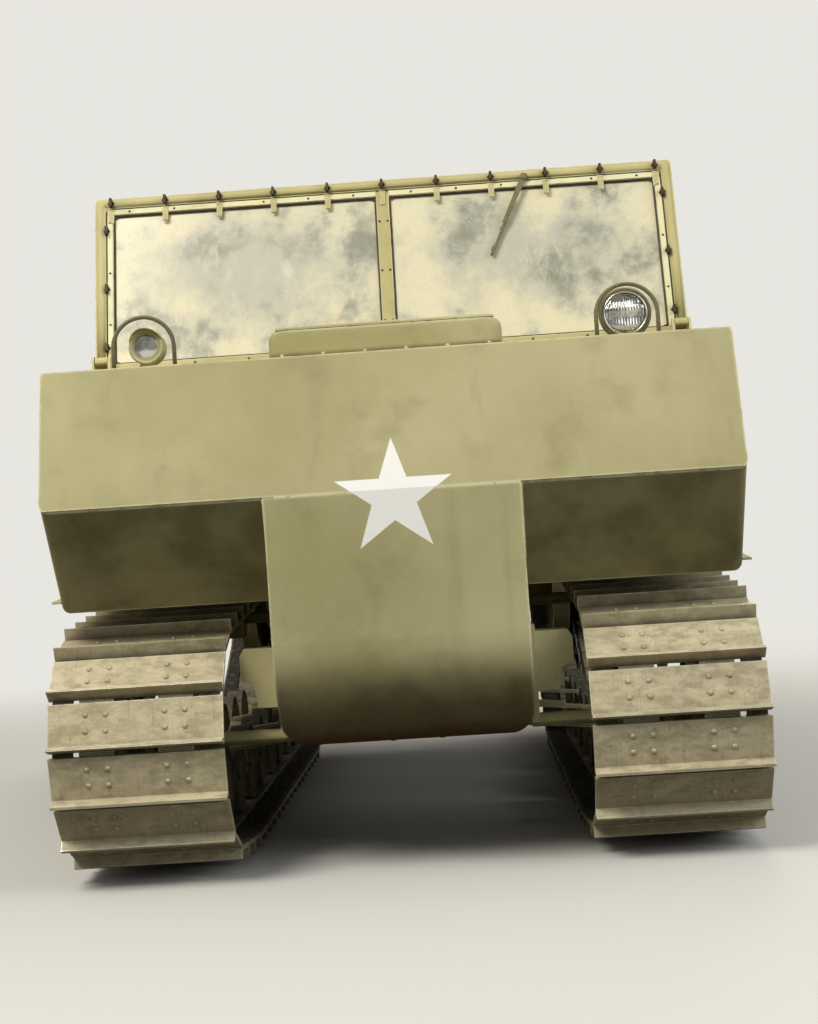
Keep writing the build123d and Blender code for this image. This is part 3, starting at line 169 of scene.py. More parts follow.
class Graph:
    """The nodes of one material, or of the world."""

    def __init__(self, name: str, world: bool = False) -> None:
        """Makes an empty material or world.

        Args:
            name: Its name.
            world: Whether it is a world.
        """
        self.owner = (bpy.data.worlds if world else bpy.data.materials).new(name)
        self.owner.use_nodes = True
        self.tree = self.owner.node_tree
        self.tree.nodes.clear()
        self.place = self.node("ShaderNodeTexCoord").outputs["Object"]
        axes = self.node("ShaderNodeSeparateXYZ", sockets={0: self.place})
        self.x, self.y, self.z = (Level(self, output) for output in axes.outputs)

    def node(self, kind: str, settings: dict | None = None, sockets: dict | None = None) -> bpy.types.Node:
        """Adds any node.

        Args:
            kind: The node's type.
            settings: Its own properties, set before its sockets.
            sockets: What each input takes, by name or number: a Level, a socket or a plain value.

        Returns:
            The node.
        """
        made = self.tree.nodes.new(kind)
        for key, setting in (settings or {}).items():
            setattr(made, key, setting)
        for key, value in (sockets or {}).items():
            source = value.socket if isinstance(value, Level) else value
            if isinstance(source, bpy.types.NodeSocket):
                self.tree.links.new(source, made.inputs[key])
            else:
                made.inputs[key].default_value = source
        return made

    def level(
        self, kind: str, settings: dict | None = None, sockets: dict | None = None, output: int | str = 0
    ) -> Level:
        """Adds any node as node() does, and wraps one of its outputs as a number."""
        return Level(self, self.node(kind, settings, sockets).outputs[output])

    def dot(self, first: object, second: object) -> Level:
        """Dot product of two vectors."""
        settings = {"operation": "DOT_PRODUCT"}
        return self.level("ShaderNodeVectorMath", settings, {0: first, 1: second}, "Value")

    def stretched(self, factors: Colour) -> bpy.types.NodeSocket:
        """The place on the piece, multiplied along each axis."""
        sockets = {0: self.place, 1: factors}
        return self.node("ShaderNodeVectorMath", {"operation": "MULTIPLY"}, sockets).outputs[0]

    def noise(
        self, scale: float, detail: float = 4.0, stretch: Colour = (1, 1, 1), rough: float = 0.55
    ) -> Level:
        """Cloudy pattern that stays with the piece.

        Args:
            scale: Lumps a metre.
            detail: How many finer layers it has.
            stretch: Factor along each axis, so that 0.1 draws it out ten times.
            rough: Weight of the finer layers.

        Returns:
            A number round 0.5.
        """
        sockets = {"Vector": self.stretched(stretch), "Scale": scale, "Detail": detail, "Roughness": rough}
        return self.level("ShaderNodeTexNoise", None, sockets)

    def cells(self, scale: float) -> Level:
        """Distance to scattered points, so many a metre, for pits and flakes."""
        return self.level("ShaderNodeTexVoronoi", None, {"Vector": self.place, "Scale": scale})

    def facing(self, direction: Colour) -> Level:
        """One where the surface faces a direction of length one, minus one where it faces away."""
        normal = self.node("ShaderNodeTexCoord").outputs["Normal"]
        return self.dot(normal, direction)

    def edges(self, radius: float) -> Level:
        """More than nought within a radius of edges, and nought on flat surfaces."""
        eased = self.node("ShaderNodeBevel", {"samples": 3}, {"Radius": radius}).outputs[0]
        return 1 - self.dot(eased, self.node("ShaderNodeNewGeometry").outputs["Normal"])

    def hollows(self, reach: float) -> Level:
        """One deep in a corner of surfaces within reach, where dirt gathers, and nought in the open."""
        return 1 - self.level("ShaderNodeAmbientOcclusion", {"samples": 3}, {"Distance": reach}, "AO")

    def mix(self, factor: Level | float, first: object, second: object) -> bpy.types.NodeSocket:
        """Mixes two colours, given as values or sockets, by the share of the second."""
        sockets = {0: factor, 6: first, 7: second}
        return self.node("ShaderNodeMix", {"data_type": "RGBA"}, sockets).outputs[2]

    def finish(
        self, changing: dict, fixed: dict | None = None, relief: Level | None = None, depth: float = 0.0
    ) -> Material:
        """Ends the graph in one shader.

        Args:
            changing: What varies over the surface, by the shader's socket.
            fixed: What is the same all over.
            relief: Height pattern for the bumps.
            depth: Height of the bumps in metres.

        Returns:
            The material.
        """
        sockets = {**changing, **(fixed or {})}
        if relief is not None:
            sockets["Normal"] = self.node(
                "ShaderNodeBump", None, {"Strength": 1.0, "Distance": depth, "Height": relief}
            ).outputs[0]
        shader = self.node("ShaderNodeBsdfPrincipled", None, sockets)
        self.node("ShaderNodeOutputMaterial", None, {"Surface": shader.outputs[0]})
        return self.owner


@dataclass(frozen=True)
class Paint:
    """Matt military paint over sheet steel, with dust, rubbed edges, scuffs, a painted highlight along its
    edges and painted shade on its undersides.
    """

    name: str
    colour: tuple = linear(170, 163, 115)
    faded: tuple = linear(192, 184, 139)
    stained: tuple = linear(127, 120, 77)
    dust: tuple = linear(216, 205, 166)
    bare: tuple = linear(109, 95, 68)
    dusting: float = 0.45
    rubbing: float = 0.6
    roughness: float = 0.62
    marking: Marking = Marking.NONE
    # Colour of the painted highlight along every edge.
    rim: tuple = linear(244, 239, 195)
    # Colour of the painted shade, with some dirt, on faces that look down.
    underside_shade_and_soot: tuple = linear(82, 73, 43)
    edge_reach: float = 0.004
    star_white: tuple = linear(255, 254, 250)
    star_across: float = 0.004
    star_up: float = -0.016
    star_radius: float = 0.132
    star_slant: float = 1.044
    # Colour of the painted shade, with some dirt, low on the bow.
    bow_shade_and_grime: tuple = linear(82, 70, 34)
    rust: tuple = linear(95, 50, 30)

    def make(self) -> Material:
        """Builds the material.

        Returns:
            The finished material.
        """
        g = Graph(self.name)
        broad = g.noise(1.7, 5)
        patches = g.noise(8, 6)
        mottle = g.noise(34, 5)
        grain = g.noise(420, 2)
        runs = g.noise(16, 4, (1, 1, 0.07))
        scuffs = g.noise(30, 6, (0.12, 0.12, 1.6), 0.7)
        hollows = g.hollows(0.06)
        edges = g.edges(self.edge_reach)
        colour = g.mix(broad.rise(0.36, 0.66), self.colour, self.faded)
        stains = (patches.rise(0.5, 0.78) * 0.4 + runs.rise(0.56, 0.8) * 0.25).least(0.55)
        colour = g.mix(stains, colour, self.stained)
        colour = g.mix(mottle.rise(0.42, 0.75) * 0.16, colour, self.faded)
        lying = g.facing((0, 0, 1)).rise(0.25, 0.95) * (patches.rise(0.3, 0.7) * 0.6 + 0.4)
        settled = (lying + hollows.rise(0.35, 0.85) * 0.3) * self.dusting
        colour = g.mix(settled.least(0.85), colour, self.dust)
        colour = g.mix(scuffs.rise(0.66, 0.74) * 0.22, colour, self.faded)
        # Painted shade: faces that look down are darkened, with a little dirt in patches.
        underside_shade_and_soot_mask = g.facing((0, 0, -1)).rise(0.04, 0.5) * (0.45 + patches.rise(0.3, 0.7) * 0.3)
        colour = g.mix(underside_shade_and_soot_mask, colour, self.underside_shade_and_soot)
        chips = edges.rise(0.05, 0.3) * mottle.rise(0.5, 0.62) * self.rubbing
        # Painted highlight: a pale line within the edge reach of every edge.
        colour = g.mix(edges.rise(0.008, 0.09) * 0.8, colour, self.rim)
        colour = g.mix(chips, colour, self.bare)
        roughness = patches * 0.12 + self.roughness - 0.06 + settled * 0.16 - chips * 0.12
        if self.marking is Marking.STAR:
            colour, roughness = self.star(g, colour, roughness, mottle, grain)
        relief = broad * 2.2 + patches * 0.5 + mottle * 0.10 + grain * 0.035 - chips * 0.06
        changing = {"Base Color": colour, "Roughness": roughness}
        return g.finish(changing, {"Specular IOR Level": 0.35}, relief, 0.0016)

    def star(self, g: Graph, colour: object, roughness: Level, mottle: Level, grain: Level) -> tuple:
        """Paints a white five-pointed star over the crease, painted shade with some dirt low on the bow,
        and the rust under the bow.

        Args:
            g: The material's graph.
            colour: The paint so far.
            roughness: Its roughness so far.
            mottle: Small patches.
            grain: The finest pattern.

        Returns:
            The new colour and roughness.
        """
        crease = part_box("front_plate")[0].z + 0.0052
        along = g.z - crease
        up = along.most(0.0) * self.star_slant + along.least(0.0) - self.star_up
        across = g.x - self.star_across
        inside = 0.0
        for point in range(5):
            turn = math.radians(90 + 72 * point)
            reach = across * math.cos(turn) + up * math.sin(turn)
            inside = (reach < self.star_radius * math.cos(math.radians(72))) + inside
        white = (inside > 3.5) * (g.y < -1.4)
        worn = mottle.rise(0.62, 0.72) * grain.rise(0.4, 0.6)
        colour = g.mix(white * (1 - worn * 0.15), colour, self.star_white)
        low_front = g.y.rise(-0.8, -1.35) * 0.6 + 0.4
        # Painted shade: the bow darkens towards its foot, where it curves under, with some dirt.
        bow_shade_and_grime = (g.z + mottle * 0.05).rise(0.49, 0.34) * low_front
        colour = g.mix(bow_shade_and_grime * 0.62, colour, self.bow_shade_and_grime)
        under = (g.z + mottle * 0.04).rise(0.352, 0.305) * low_front
        return g.mix(under * 0.8, colour, self.rust), roughness + under * 0.15


@dataclass(frozen=True)
class TrackSteel:
    """Bare, dusty pressed steel with bright rubbed edges, rust patches, and painted shade with some dirt in
    the gaps, on rubber belts.
    """

    name: str = "worn_track_steel"
    pale: tuple = linear(216, 205, 170)
    dull: tuple = linear(170, 159, 127)
    rust: tuple = linear(134, 102, 73)
    bright: tuple = linear(244, 244, 222)
    belt: tuple = linear(62, 58, 52)
    dragged: tuple = linear(161, 149, 118)
    gritty: tuple = linear(109, 98, 75)
    # Colour of the painted shade, with some dirt, in the gaps and hollows.
    deep: tuple = linear(59, 50, 36)
    dusty: tuple = linear(225, 213, 179)

    def make(self) -> Material:
        """Builds the material.

        Returns:
            The finished material.
        """
        g = Graph(self.name)
        broad = g.noise(4, 4)
        patches = g.noise(46, 6, (0.5, 1, 1), 0.62)
        grit = g.noise(190, 4)
        drags = g.noise(120, 5, (1, 0.09, 0.09), 0.65)
        edges = g.edges(0.005)
        hollows = g.hollows(0.05)
        colour = g.mix(patches.rise(0.36, 0.64) * 0.7 + broad.rise(0.35, 0.65) * 0.3, self.dull, self.pale)
        colour = g.mix(drags.rise(0.54, 0.7) * 0.5, colour, self.dragged)
        colour = g.mix(broad.rise(0.5, 0.66) * patches.rise(0.46, 0.62) * 0.55, colour, self.rust)
        colour = g.mix(grit.rise(0.58, 0.7) * 0.35, colour, self.gritty)
        # Painted shade: the gaps between shoes and other hollows are darkened nearly to black, with some
        # dirt.
        colour = g.mix(hollows.rise(0.2, 0.7) * 0.85, colour, self.deep)
        rubbed = edges.rise(0.03, 0.22) * grit.rise(0.3, 0.5)
        colour = g.mix(rubbed * 0.85, colour, self.bright)
        belts = self.belt_share(g)
        colour = g.mix(belts * 0.85, colour, self.belt)
        lying = g.facing((0, 0, 1)).rise(0.3, 0.9) * patches.rise(0.3, 0.6)
        colour = g.mix(lying * 0.35, colour, self.dusty)
        roughness = patches * 0.2 + 0.5 - rubbed * 0.2 + belts * 0.2
        metal = (rubbed * 0.6 + 0.12) * (1 - belts)
        relief = patches * 0.9 + grit * 0.3 + drags * 0.25 + broad * 0.6
        changing = {"Base Color": colour, "Roughness": roughness, "Metallic": metal}
        return g.finish(changing, None, relief, 0.0016)

    def belt_share(self, g: Graph) -> Level:
        """Where the two belts show their inner faces to the wheels.

        Args:
            g: The material's graph.

        Returns:
            One on the belts.
        """
        idler, sprocket = RunningGear.centre("idlers"), RunningGear.centre("sprockets")
        run = (sprocket - idler).normalized()
        length = (sprocket - idler).length
        from_y, from_z = g.y - idler.y, g.z - idler.z
        share = (from_y * run.y + from_z * run.z).most(0.0).least(length)
        out_y, out_z = from_y - share * run.y, from_z - share * run.z
        inward = g.facing((0, 1, 0)) * out_y + g.facing((0, 0, 1)) * out_z
        offset = abs(abs(g.x) - RunningGear.track_middle())
        return (inward < -0.02) * (offset > 0.047)


@dataclass(frozen=True)
class WheelRubber:
    """Dusty rubber tyres round painted steel discs."""

    name: str = "wheel_rubber_and_discs"
    rubber: tuple = linear(75, 72, 64)
    disc: tuple = linear(145, 137, 93)
    dust: tuple = linear(195, 184, 148)
    scuffed: tuple = linear(118, 110, 75)
    rubbed: tuple = linear(170, 161, 136)
    tyre_root: float = 0.0765
    wheel_count: int = 8

    def make(self) -> Material:
        """Builds the material.

        Returns:
            The finished material.
        """
        g = Graph(self.name)
        low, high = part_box("road_wheels")
        radius = (high.z - low.z) / 2
        pitch = (high.y - low.y - 2 * radius) / (self.wheel_count - 1)
        from_y = (g.y - (low.y + radius) + pitch / 2) % pitch - pitch / 2
        from_z = g.z - (low.z + radius)
        reach = (from_y * from_y + from_z * from_z).root()
        discs = reach < self.tyre_root
        patches = g.noise(64, 6, rough=0.65)
        grit = g.noise(170, 4)
        edges = g.edges(0.003)
        hollows = g.hollows(0.04)
        paint = g.mix(patches.rise(0.4, 0.7) * 0.6, self.disc, self.scuffed)
        colour = g.mix(discs, self.rubber, paint)
        dusty = (hollows.rise(0.2, 0.7) * 0.4 + patches.rise(0.36, 0.72) * 0.3 + 0.1).least(0.8)
        colour = g.mix(dusty, colour, self.dust)
        colour = g.mix(edges.rise(0.05, 0.3) * grit.rise(0.4, 0.6) * 0.4, colour, self.rubbed)
        roughness = patches * 0.15 + 0.68
        relief = patches * 0.4 + grit * 0.3 + discs * 0.2
        changing = {"Base Color": colour, "Roughness": roughness}
        return g.finish(changing, {"Specular IOR Level": 0.3}, relief, 0.0009)


@dataclass(frozen=True)
class CloudedPane:
    """Old pane, clouded and dusty, pale against the light, with small painted highlights."""

    name: str = "clouded_pane"
    cream: tuple = linear(237, 229, 193)
    silver: tuple = linear(196, 195, 178)
    smear: tuple = linear(238, 234, 214)
    cloud: tuple = linear(150, 151, 132)
    # Colour of the small painted highlights on the pane.
    glint_white: tuple = linear(250, 248, 236)
    scratch: tuple = linear(150, 146, 124)
    speck: tuple = linear(120, 118, 96)
    bar: float = 0.0165

    def make(self) -> Material:
        """Builds the material.

        Returns:
            The finished material.
        """
        g = Graph(self.name)
        low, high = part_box("windshield_panes")
        middle_x, middle_z = (high.x + self.bar) / 2, (low.z + high.z) / 2 + 0.02
        off_x = (abs(g.x) - middle_x) / (high.x - middle_x)
        off_z = (g.z - middle_z) / (high.z - middle_z)
        rounded = (off_x * off_x + off_z * off_z).root()
        clouds = g.noise(6.5, 6, rough=0.6)
        smears = g.noise(15, 6, (1, 1, 0.35), 0.68)
        glint_spots = g.cells(46)
        scratches = g.noise(260, 3, (1, 1, 0.05))
        grain = g.noise(260, 2)
        centred = (clouds * 1.5 - rounded * 0.42).rise(0.16, 0.60)
        colour = g.mix(centred * 0.9, self.cream, self.silver)
        colour = g.mix(clouds.rise(0.48, 0.64) * centred * 0.75, colour, self.cloud)
        colour = g.mix(smears.rise(0.53, 0.74) * 0.65, colour, self.smear)
        # Painted highlight: small white glints scattered over the smears.
        colour = g.mix(glint_spots.rise(0.10, 0.04) * smears.rise(0.46, 0.56) * 0.8, colour, self.glint_white)
        colour = g.mix(scratches.rise(0.55, 0.75) * 0.22, colour, self.scratch)
        colour = g.mix(grain.rise(0.3, 0.8) * 0.08, colour, self.speck)
        clear = clouds.rise(0.52, 0.68) * (1 - smears.rise(0.45, 0.65))
        roughness = 0.46 - clear * 0.28 + smears * 0.12
        changing = {"Base Color": colour, "Roughness": roughness, "Alpha": 0.97 - clear * 0.22}
        fixed = {"Coat Weight": 0.35, "Coat Roughness": 0.14, "IOR": 1.5}
        return g.finish(changing, fixed, clouds * 0.6 + smears * 0.2 + grain * 0.02, 0.0012)


@dataclass(frozen=True)
class Metal:
    """Plain metal: cast, plated or oiled."""

    name: str
    colour: tuple = linear(200, 198, 190)
    tarnish: tuple = linear(112, 104, 86)
    roughness: float = 0.2
    metallic: float = 1.0
    wear: float = 0.35
    depth: float = 0.0002

    def make(self) -> Material:
        """Builds the material.

        Returns:
            The finished material.
        """
        g = Graph(self.name)
        patches = g.noise(40, 5)
        grit = g.noise(260, 3)
        hollows = g.hollows(0.02)
        tarnished = (patches.rise(0.48, 0.72) * self.wear + hollows.rise(0.3, 0.8) * 0.4).least(0.9)
        colour = g.mix(tarnished, self.colour, self.tarnish)
        changing = {
            "Base Color": colour,
            "Roughness": patches * 0.12 + self.roughness + tarnished * 0.2,
            "Metallic": self.metallic - tarnished * self.metallic * 0.5,
        }
        return g.finish(changing, None, patches * 0.6 + grit * 0.4, self.depth)


@dataclass(frozen=True)
class Canvas:
    """Woven cotton duck, faded on top, stained in patches and darker in its folds."""

    name: str = "seat_canvas_weave"
    cloth: tuple = linear(145, 134, 86)
    faded: tuple = linear(186, 174, 125)
    darker_cloth: tuple = linear(95, 84, 54)
    threads: float = 900.0

    def make(self) -> Material:
        """Builds the material.

        Returns:
            The finished material.
        """
        g = Graph(self.name)
        broad = g.noise(6, 5)
        patches = g.noise(26, 5)
        fibres = g.noise(700, 2)
        weave = (g.x * self.threads).wave() * (g.y * self.threads + g.z * self.threads).wave()
        colour = g.mix(broad.rise(0.36, 0.68) * g.facing((0, 0, 1)).rise(-0.2, 1.0), self.cloth, self.faded)
        # Stains in patches, and darker cloth in the folds and creases.
        soil_and_fold_darkening = patches.rise(0.55, 0.78) * 0.45 + g.hollows(0.03).rise(0.3, 0.8) * 0.4
        colour = g.mix(soil_and_fold_darkening, colour, self.darker_cloth)
        colour = g.mix(weave.rise(-0.6, 0.8) * 0.18, colour, self.faded)
        relief = weave * 0.5 + fibres * 0.3 + patches * 1.5 + broad * 2.0
        fixed = {"Sheen Weight": 0.25, "Sheen Roughness": 0.6, "Specular IOR Level": 0.2}
        return g.finish({"Base Color": colour, "Roughness": patches * 0.1 + 0.8}, fixed, relief, 0.0011)


@dataclass(frozen=True)
class Lens:
    """Thick lamp glass that shows the plated bowl behind it."""

    name: str
    colour: tuple = linear(214, 214, 206)
    shade: tuple = linear(88, 90, 86)
    metallic: float = 0.85

    def make(self) -> Material:
        """Builds the material.

        Returns:
            The finished material.
        """
        g = Graph(self.name)
        patches = g.noise(60, 4)
        bowl = g.noise(24, 3)
        colour = g.mix(bowl.rise(0.46, 0.62) * 0.55, self.colour, self.shade)
        changing = {"Base Color": colour, "Roughness": patches * 0.1 + 0.1}
        fixed = {"Metallic": self.metallic, "Coat Weight": 1.0, "Coat Roughness": 0.04}
        return g.finish(changing, fixed, patches, 0.0001)


@dataclass(frozen=True)
class DialFace:
    """Black instrument face with a faint gloss."""

    name: str = "dial_black"
    colour: tuple = linear(34, 33, 30)
    dust: tuple = linear(78, 74, 62)

    def make(self) -> Material:
        """Builds the material.

        Returns:
            The finished material.
        """
        g = Graph(self.name)
        patches = g.noise(80, 4)
        colour = g.mix(patches.rise(0.45, 0.8) * 0.3, self.colour, self.dust)
        changing = {"Base Color": colour, "Roughness": patches * 0.2 + 0.35}
        return g.finish(changing, {"Coat Weight": 0.2}, patches, 0.0002)


Finish = Paint | TrackSteel | WheelRubber | CloudedPane | Metal | Canvas | Lens | DialFace


class PaintShop:
    """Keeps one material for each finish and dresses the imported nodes."""

    def __init__(self) -> None:
        """Starts with no material made."""
        self.made: dict[str, Material] = {}
        self.hull = Paint("olive_paint_hull", edge_reach=0.007)
        self.front = Paint("olive_paint_front", dusting=0.3, marking=Marking.STAR, edge_reach=0.008)
        self.inside = Paint("olive_paint_inside", dusting=0.6, rubbing=0.8)
        self.shield = Paint(
            "olive_paint_shield", linear(188, 179, 123), linear(211, 201, 145), dusting=0.35
        )
        self.strip = Paint(
            "olive_paint_strips", linear(234, 225, 179), linear(244, 243, 200), dusting=0.3, rubbing=0.4
        )
        # Olive paint lightened to stand in for the light that the idler arms catch: a painted highlight.
        self.highlit_bracket = Paint(
            "olive_paint_brackets", linear(202, 194, 143), linear(229, 221, 173), rubbing=0.9
        )
        # Olive paint darkened to stand in for shade on the headlamp rim and the guard hoops: painted shade.
        self.hoop = Paint(
            "olive_paint_hoops_shaded", linear(76, 68, 42), linear(96, 88, 58), linear(46, 38, 22), rubbing=0.8
        )
        self.lids = Paint("olive_paint_lids", linear(161, 154, 104), rubbing=0.9)
        self.chassis = Paint(
            "chassis_paint_grimy", linear(134, 126, 86), linear(159, 150, 109), linear(89, 79, 52),
            dust=linear(191, 177, 138), bare=linear(104, 75, 52), dusting=0.7, rubbing=0.9, roughness=0.7,
        )
        self.track = TrackSteel()
        self.wheels = WheelRubber()
        self.rubber = Metal(
            "belt_rubber", linear(58, 54, 46), linear(122, 112, 86),
            roughness=0.75, metallic=0.0, wear=0.7, depth=0.0006,
        )
        self.pane = CloudedPane()
        self.canvas = Canvas()
        self.engine = Metal(
            "engine_cast_iron", linear(92, 96, 84), linear(62, 52, 40),
            roughness=0.55, metallic=0.25, wear=0.6, depth=0.0012,
        )
        self.iron = Metal(
            "forged_iron", linear(104, 98, 84), linear(96, 68, 48),
            roughness=0.45, metallic=0.6, wear=0.55, depth=0.0008,
        )
        self.chrome = Metal(
            "plated_rim", linear(216, 212, 200), linear(120, 112, 92),
            roughness=0.14, metallic=1.0, wear=0.3, depth=0.00006,
        )
        self.trim = Metal(
            "dark_trim_black", linear(56, 52, 42), linear(104, 96, 74),
            roughness=0.5, metallic=0.15, wear=0.5, depth=0.0003,
        )
        self.wiper = Metal(
            "wiper_dusty_paint", linear(126, 116, 82), linear(92, 82, 56),
            roughness=0.6, metallic=0.1, wear=0.5, depth=0.0003,
        )
        self.fasteners = Metal(
            "dark_fasteners", linear(70, 62, 44), linear(38, 34, 26),
            roughness=0.5, metallic=0.4, wear=0.5, depth=0.0003,
        )
        self.clear_lens = Lens("lamp_lens_clear")
        self.red_lens = Lens("lamp_lens_red", linear(128, 22, 16), linear(66, 10, 8), 0.1)
        self.dial = DialFace()
        self.ivory = Metal(
            "ivory_marks", linear(220, 212, 184), linear(176, 166, 132),
            roughness=0.5, metallic=0.0, wear=0.3, depth=0.0001,
        )

    def material(self, finish: Finish) -> Material:
        """Gives a finish's material, made once.

        Args:
            finish: Any of the finishes.

        Returns:
            Its material.
        """
        if finish.name not in self.made:
            self.made[finish.name] = finish.make()
        return self.made[finish.name]

    def dress(self) -> None:
        """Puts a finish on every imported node."""
        plain = {
            self.front: ("front_plate", "lower_hull"),
            self.shield: ("windshield_frame", "windshield_feet", "lamp_guards"),
            self.lids: (
                "tool_box_lid", "battery_box_lid", "engine_lid", "vent_lid", "tool_box", "battery_box",
            ),
            self.inside: (
                "bench_frame", "cabin_rails", "dash_panel", "driver_seat_frame", "engine_cover",
                "fuel_tank",
            ),
            self.chassis: (
                "bogies", "idlers", "leaf_springs", "rear_axle", "return_rollers", "sprockets",
                "control_levers",
            ),
            self.iron: ("tow_eyes", "tow_pintle", "pintle_latch"),
            self.track: ("track_left", "track_right"),
            self.wheels: ("road_wheels",),
            self.pane: ("windshield_panes",),
            self.engine: ("engine_block",),
            self.wiper: ("wiper",),
            self.highlit_bracket: ("idler_arms",),
            self.canvas: ("bench_pads", "driver_seat_pads"),
            self.clear_lens: ("headlamp_lens",),
        }
        chosen = {node: finish for finish, nodes in plain.items() for node in nodes}
        for name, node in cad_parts.items():
            made = self.material(chosen.get(name, self.hull))
            for index in range(len(node.material_slots)):
                node.material_slots[index].material = made
        log.info("dressed %d packed nodes", len(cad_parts))


def seat_on(origin: Vector, normal: Vector, across: Vector = RIGHT) -> Matrix:
    """Gives the place of a form that stands on a surface.

    Args:
        origin: Where it stands.
        normal: The way its own Z points.
        across: The way its own X points, as near as the normal lets it.

    Returns:
        The placing matrix.
    """
    up = normal.normalized()
    side = (across - up * across.dot(up)).normalized()
    return Matrix.Translation(origin) @ Matrix((side, up.cross(side), up)).transposed().to_4x4()


def at(x: float, y: float, z: float) -> Vector:
    """A point."""
    return Vector((x, y, z))


def turns(count: int) -> list[float]:
    """Even steps of a full turn, in radians."""
    return [math.tau * step / count for step in range(count)]


def spread(low: float, high: float, count: int) -> list[float]:
    """Even steps from one value to another, both included."""
    return [low + (high - low) * step / (count - 1) for step in range(count)]


def side_view(turn: float) -> Vector:
    """A step of length one at an angle, seen from the vehicle's side."""
    return at(0, math.cos(turn), math.sin(turn))


def front_view(turn: float) -> Vector:
    """A step of length one at an angle, seen from the vehicle's front."""
    return at(math.cos(turn), 0, math.sin(turn))


def oblong(half: float, low: float, high: float) -> list[Point]:
    """Corners of an oblong with X nought at its middle, counter-clockwise."""
    return [(-half, low), (half, low), (half, high), (-half, high)]


def loop_pairs(line: Sequence) -> list[tuple]:
    """Each item of a closed line with the one after it."""
    return list(zip(line, [*line[1:], line[0]]))


class Work:
    """Gathers turned, cut and drawn forms into the mesh of one piece."""

    def __init__(self, shop: PaintShop) -> None:
        """Starts empty, with the shop that gives the piece its finish."""
        self.shop = shop
        self.points, self.faces, self.rounded = [], [], []

    def rings(
        self, rings: Sequence[Sequence[Vector]], smooth: bool, closed: bool = False, capped: bool = True
    ) -> None:
        """Skins a row of rings that have as many points each.

        Args:
            rings: The rings, in order.
            smooth: Whether the skin is shaded round.
            closed: Whether the last ring meets the first.
            capped: Whether the ends get a face each.
        """
        start, count = len(self.points), len(rings[0])
        for ring in rings:
            self.points.extend(ring)
        spans = len(rings) if closed else len(rings) - 1
        for row in range(spans):
            near = start + row * count
            far = start + (row + 1) % len(rings) * count
            for step in range(count):
                after = (step + 1) % count
                self.faces.append((near + step, near + after, far + after, far + step))
                self.rounded.append(smooth)
        if capped and not closed:
            self.faces.append(tuple(start + step for step in reversed(range(count))))
            self.faces.append(tuple(start + spans * count + step for step in range(count)))
            self.rounded.extend((False, False))

    def turned(
        self, profile: Sequence[Point], place: Matrix, sides: int = 20, smooth: bool = True,
        capped: bool = True,
    ) -> None:
        """Turns a profile round the place's Z.

        Args:
            profile: Radius and height of each step, from the foot up.
            place: Where the form stands.
            sides: How many sides the turning has.
            smooth: Whether it is shaded round.
            capped: Whether its ends are closed.
        """
        circle = [(math.cos(turn), math.sin(turn)) for turn in turns(sides)]
        rings = [
            [place @ at(radius * x, radius * y, rise) for x, y in circle] for radius, rise in profile
        ]
        self.rings(rings, smooth, capped=capped)

    def plate(self, outline: Sequence[Point], thickness: float, place: Matrix, taper: float = 1.0) -> None:
        """Cuts a plate from counter-clockwise corners, with its top larger or smaller by the taper."""
        ends = ((1.0, 0.0), (taper, thickness))
        self.rings([[place @ at(x * grow, y * grow, z) for x, y in outline] for grow, z in ends], False)

    def slab(
        self, half_x: float, half_y: float, thickness: float, place: Matrix, taper: float = 1.0
    ) -> None:
        """Cuts a plate as plate() does, oblong round its place."""
        self.plate(oblong(half_x, -half_y, half_y), thickness, place, taper)

    def rod(self, route: Sequence[Vector], radius: float, sides: int = 8, closed: bool = False) -> None:
        """Draws a round rod along a route.

        Args:
            route: Its middle line.
            radius: Its radius.
            sides: How many sides it has.
            closed: Whether it ends where it starts.
        """
        count = len(route)
        circle = [(math.cos(turn), math.sin(turn)) for turn in turns(sides)]
        rings, side = [], None
        for index, point in enumerate(route):
            before = route[index - 1] if index or closed else point
            after = route[(index + 1) % count] if index < count - 1 or closed else point
            along = (after - before).normalized()
            guess = side if side is not None else (UP if abs(along.z) < 0.9 else RIGHT)
            side = (guess - along * guess.dot(along)).normalized()
            other = along.cross(side)
            rings.append([point + (side * x + other * y) * radius for x, y in circle])
        self.rings(rings, True, closed)

    def bolt(self, place: Matrix, size: float) -> None:
        """Sets a hexagon bolt with its washer.

        Args:
            place: Where it is seated.
            size: Width over its corners.
        """
        washer = [(0.675, 0), (0.675, 0.10), (0.6, 0.14)]
        head = [(0.5, 0.14), (0.5, 0.44), (0.41, 0.52), (0.1, 0.52)]
        self.turned([(size * reach, size * rise) for reach, rise in washer], place, 14)
        self.turned([(size * reach, size * rise) for reach, rise in head], place, 6, False)

    def rivet(self, place: Matrix, size: float) -> None:
        """Sets a round rivet head of that diameter."""
        head = [(0.5, 0), (0.46, 0.15), (0.3, 0.31), (0.075, 0.375)]
        self.turned([(size * reach, size * rise) for reach, rise in head], place, 10)

    def piece(
        self, name: str, finish: Finish, slot: Slot = Slot.PAINT, body: Body = Body.HULL
    ) -> bpy.types.Object:
        """Ends the work as one object that rides on a body.

        Args:
            name: The piece's name.
            finish: Its finish.
            slot: The record's slot for its finish; not used.
            body: What it rides on.

        Returns:
            The object.
        """
        mesh = bpy.data.meshes.new(name)
        mesh.from_pydata(self.points, [], self.faces)
        mesh.polygons.foreach_set("use_smooth", self.rounded)
        mesh.materials.append(self.shop.material(finish))
        mesh.validate()
        made = bpy.data.objects.new(name, mesh)
        bpy.context.scene.collection.objects.link(made)
        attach(made, body.value)
        log.info("%s: %d faces", name, len(self.faces))
        return made


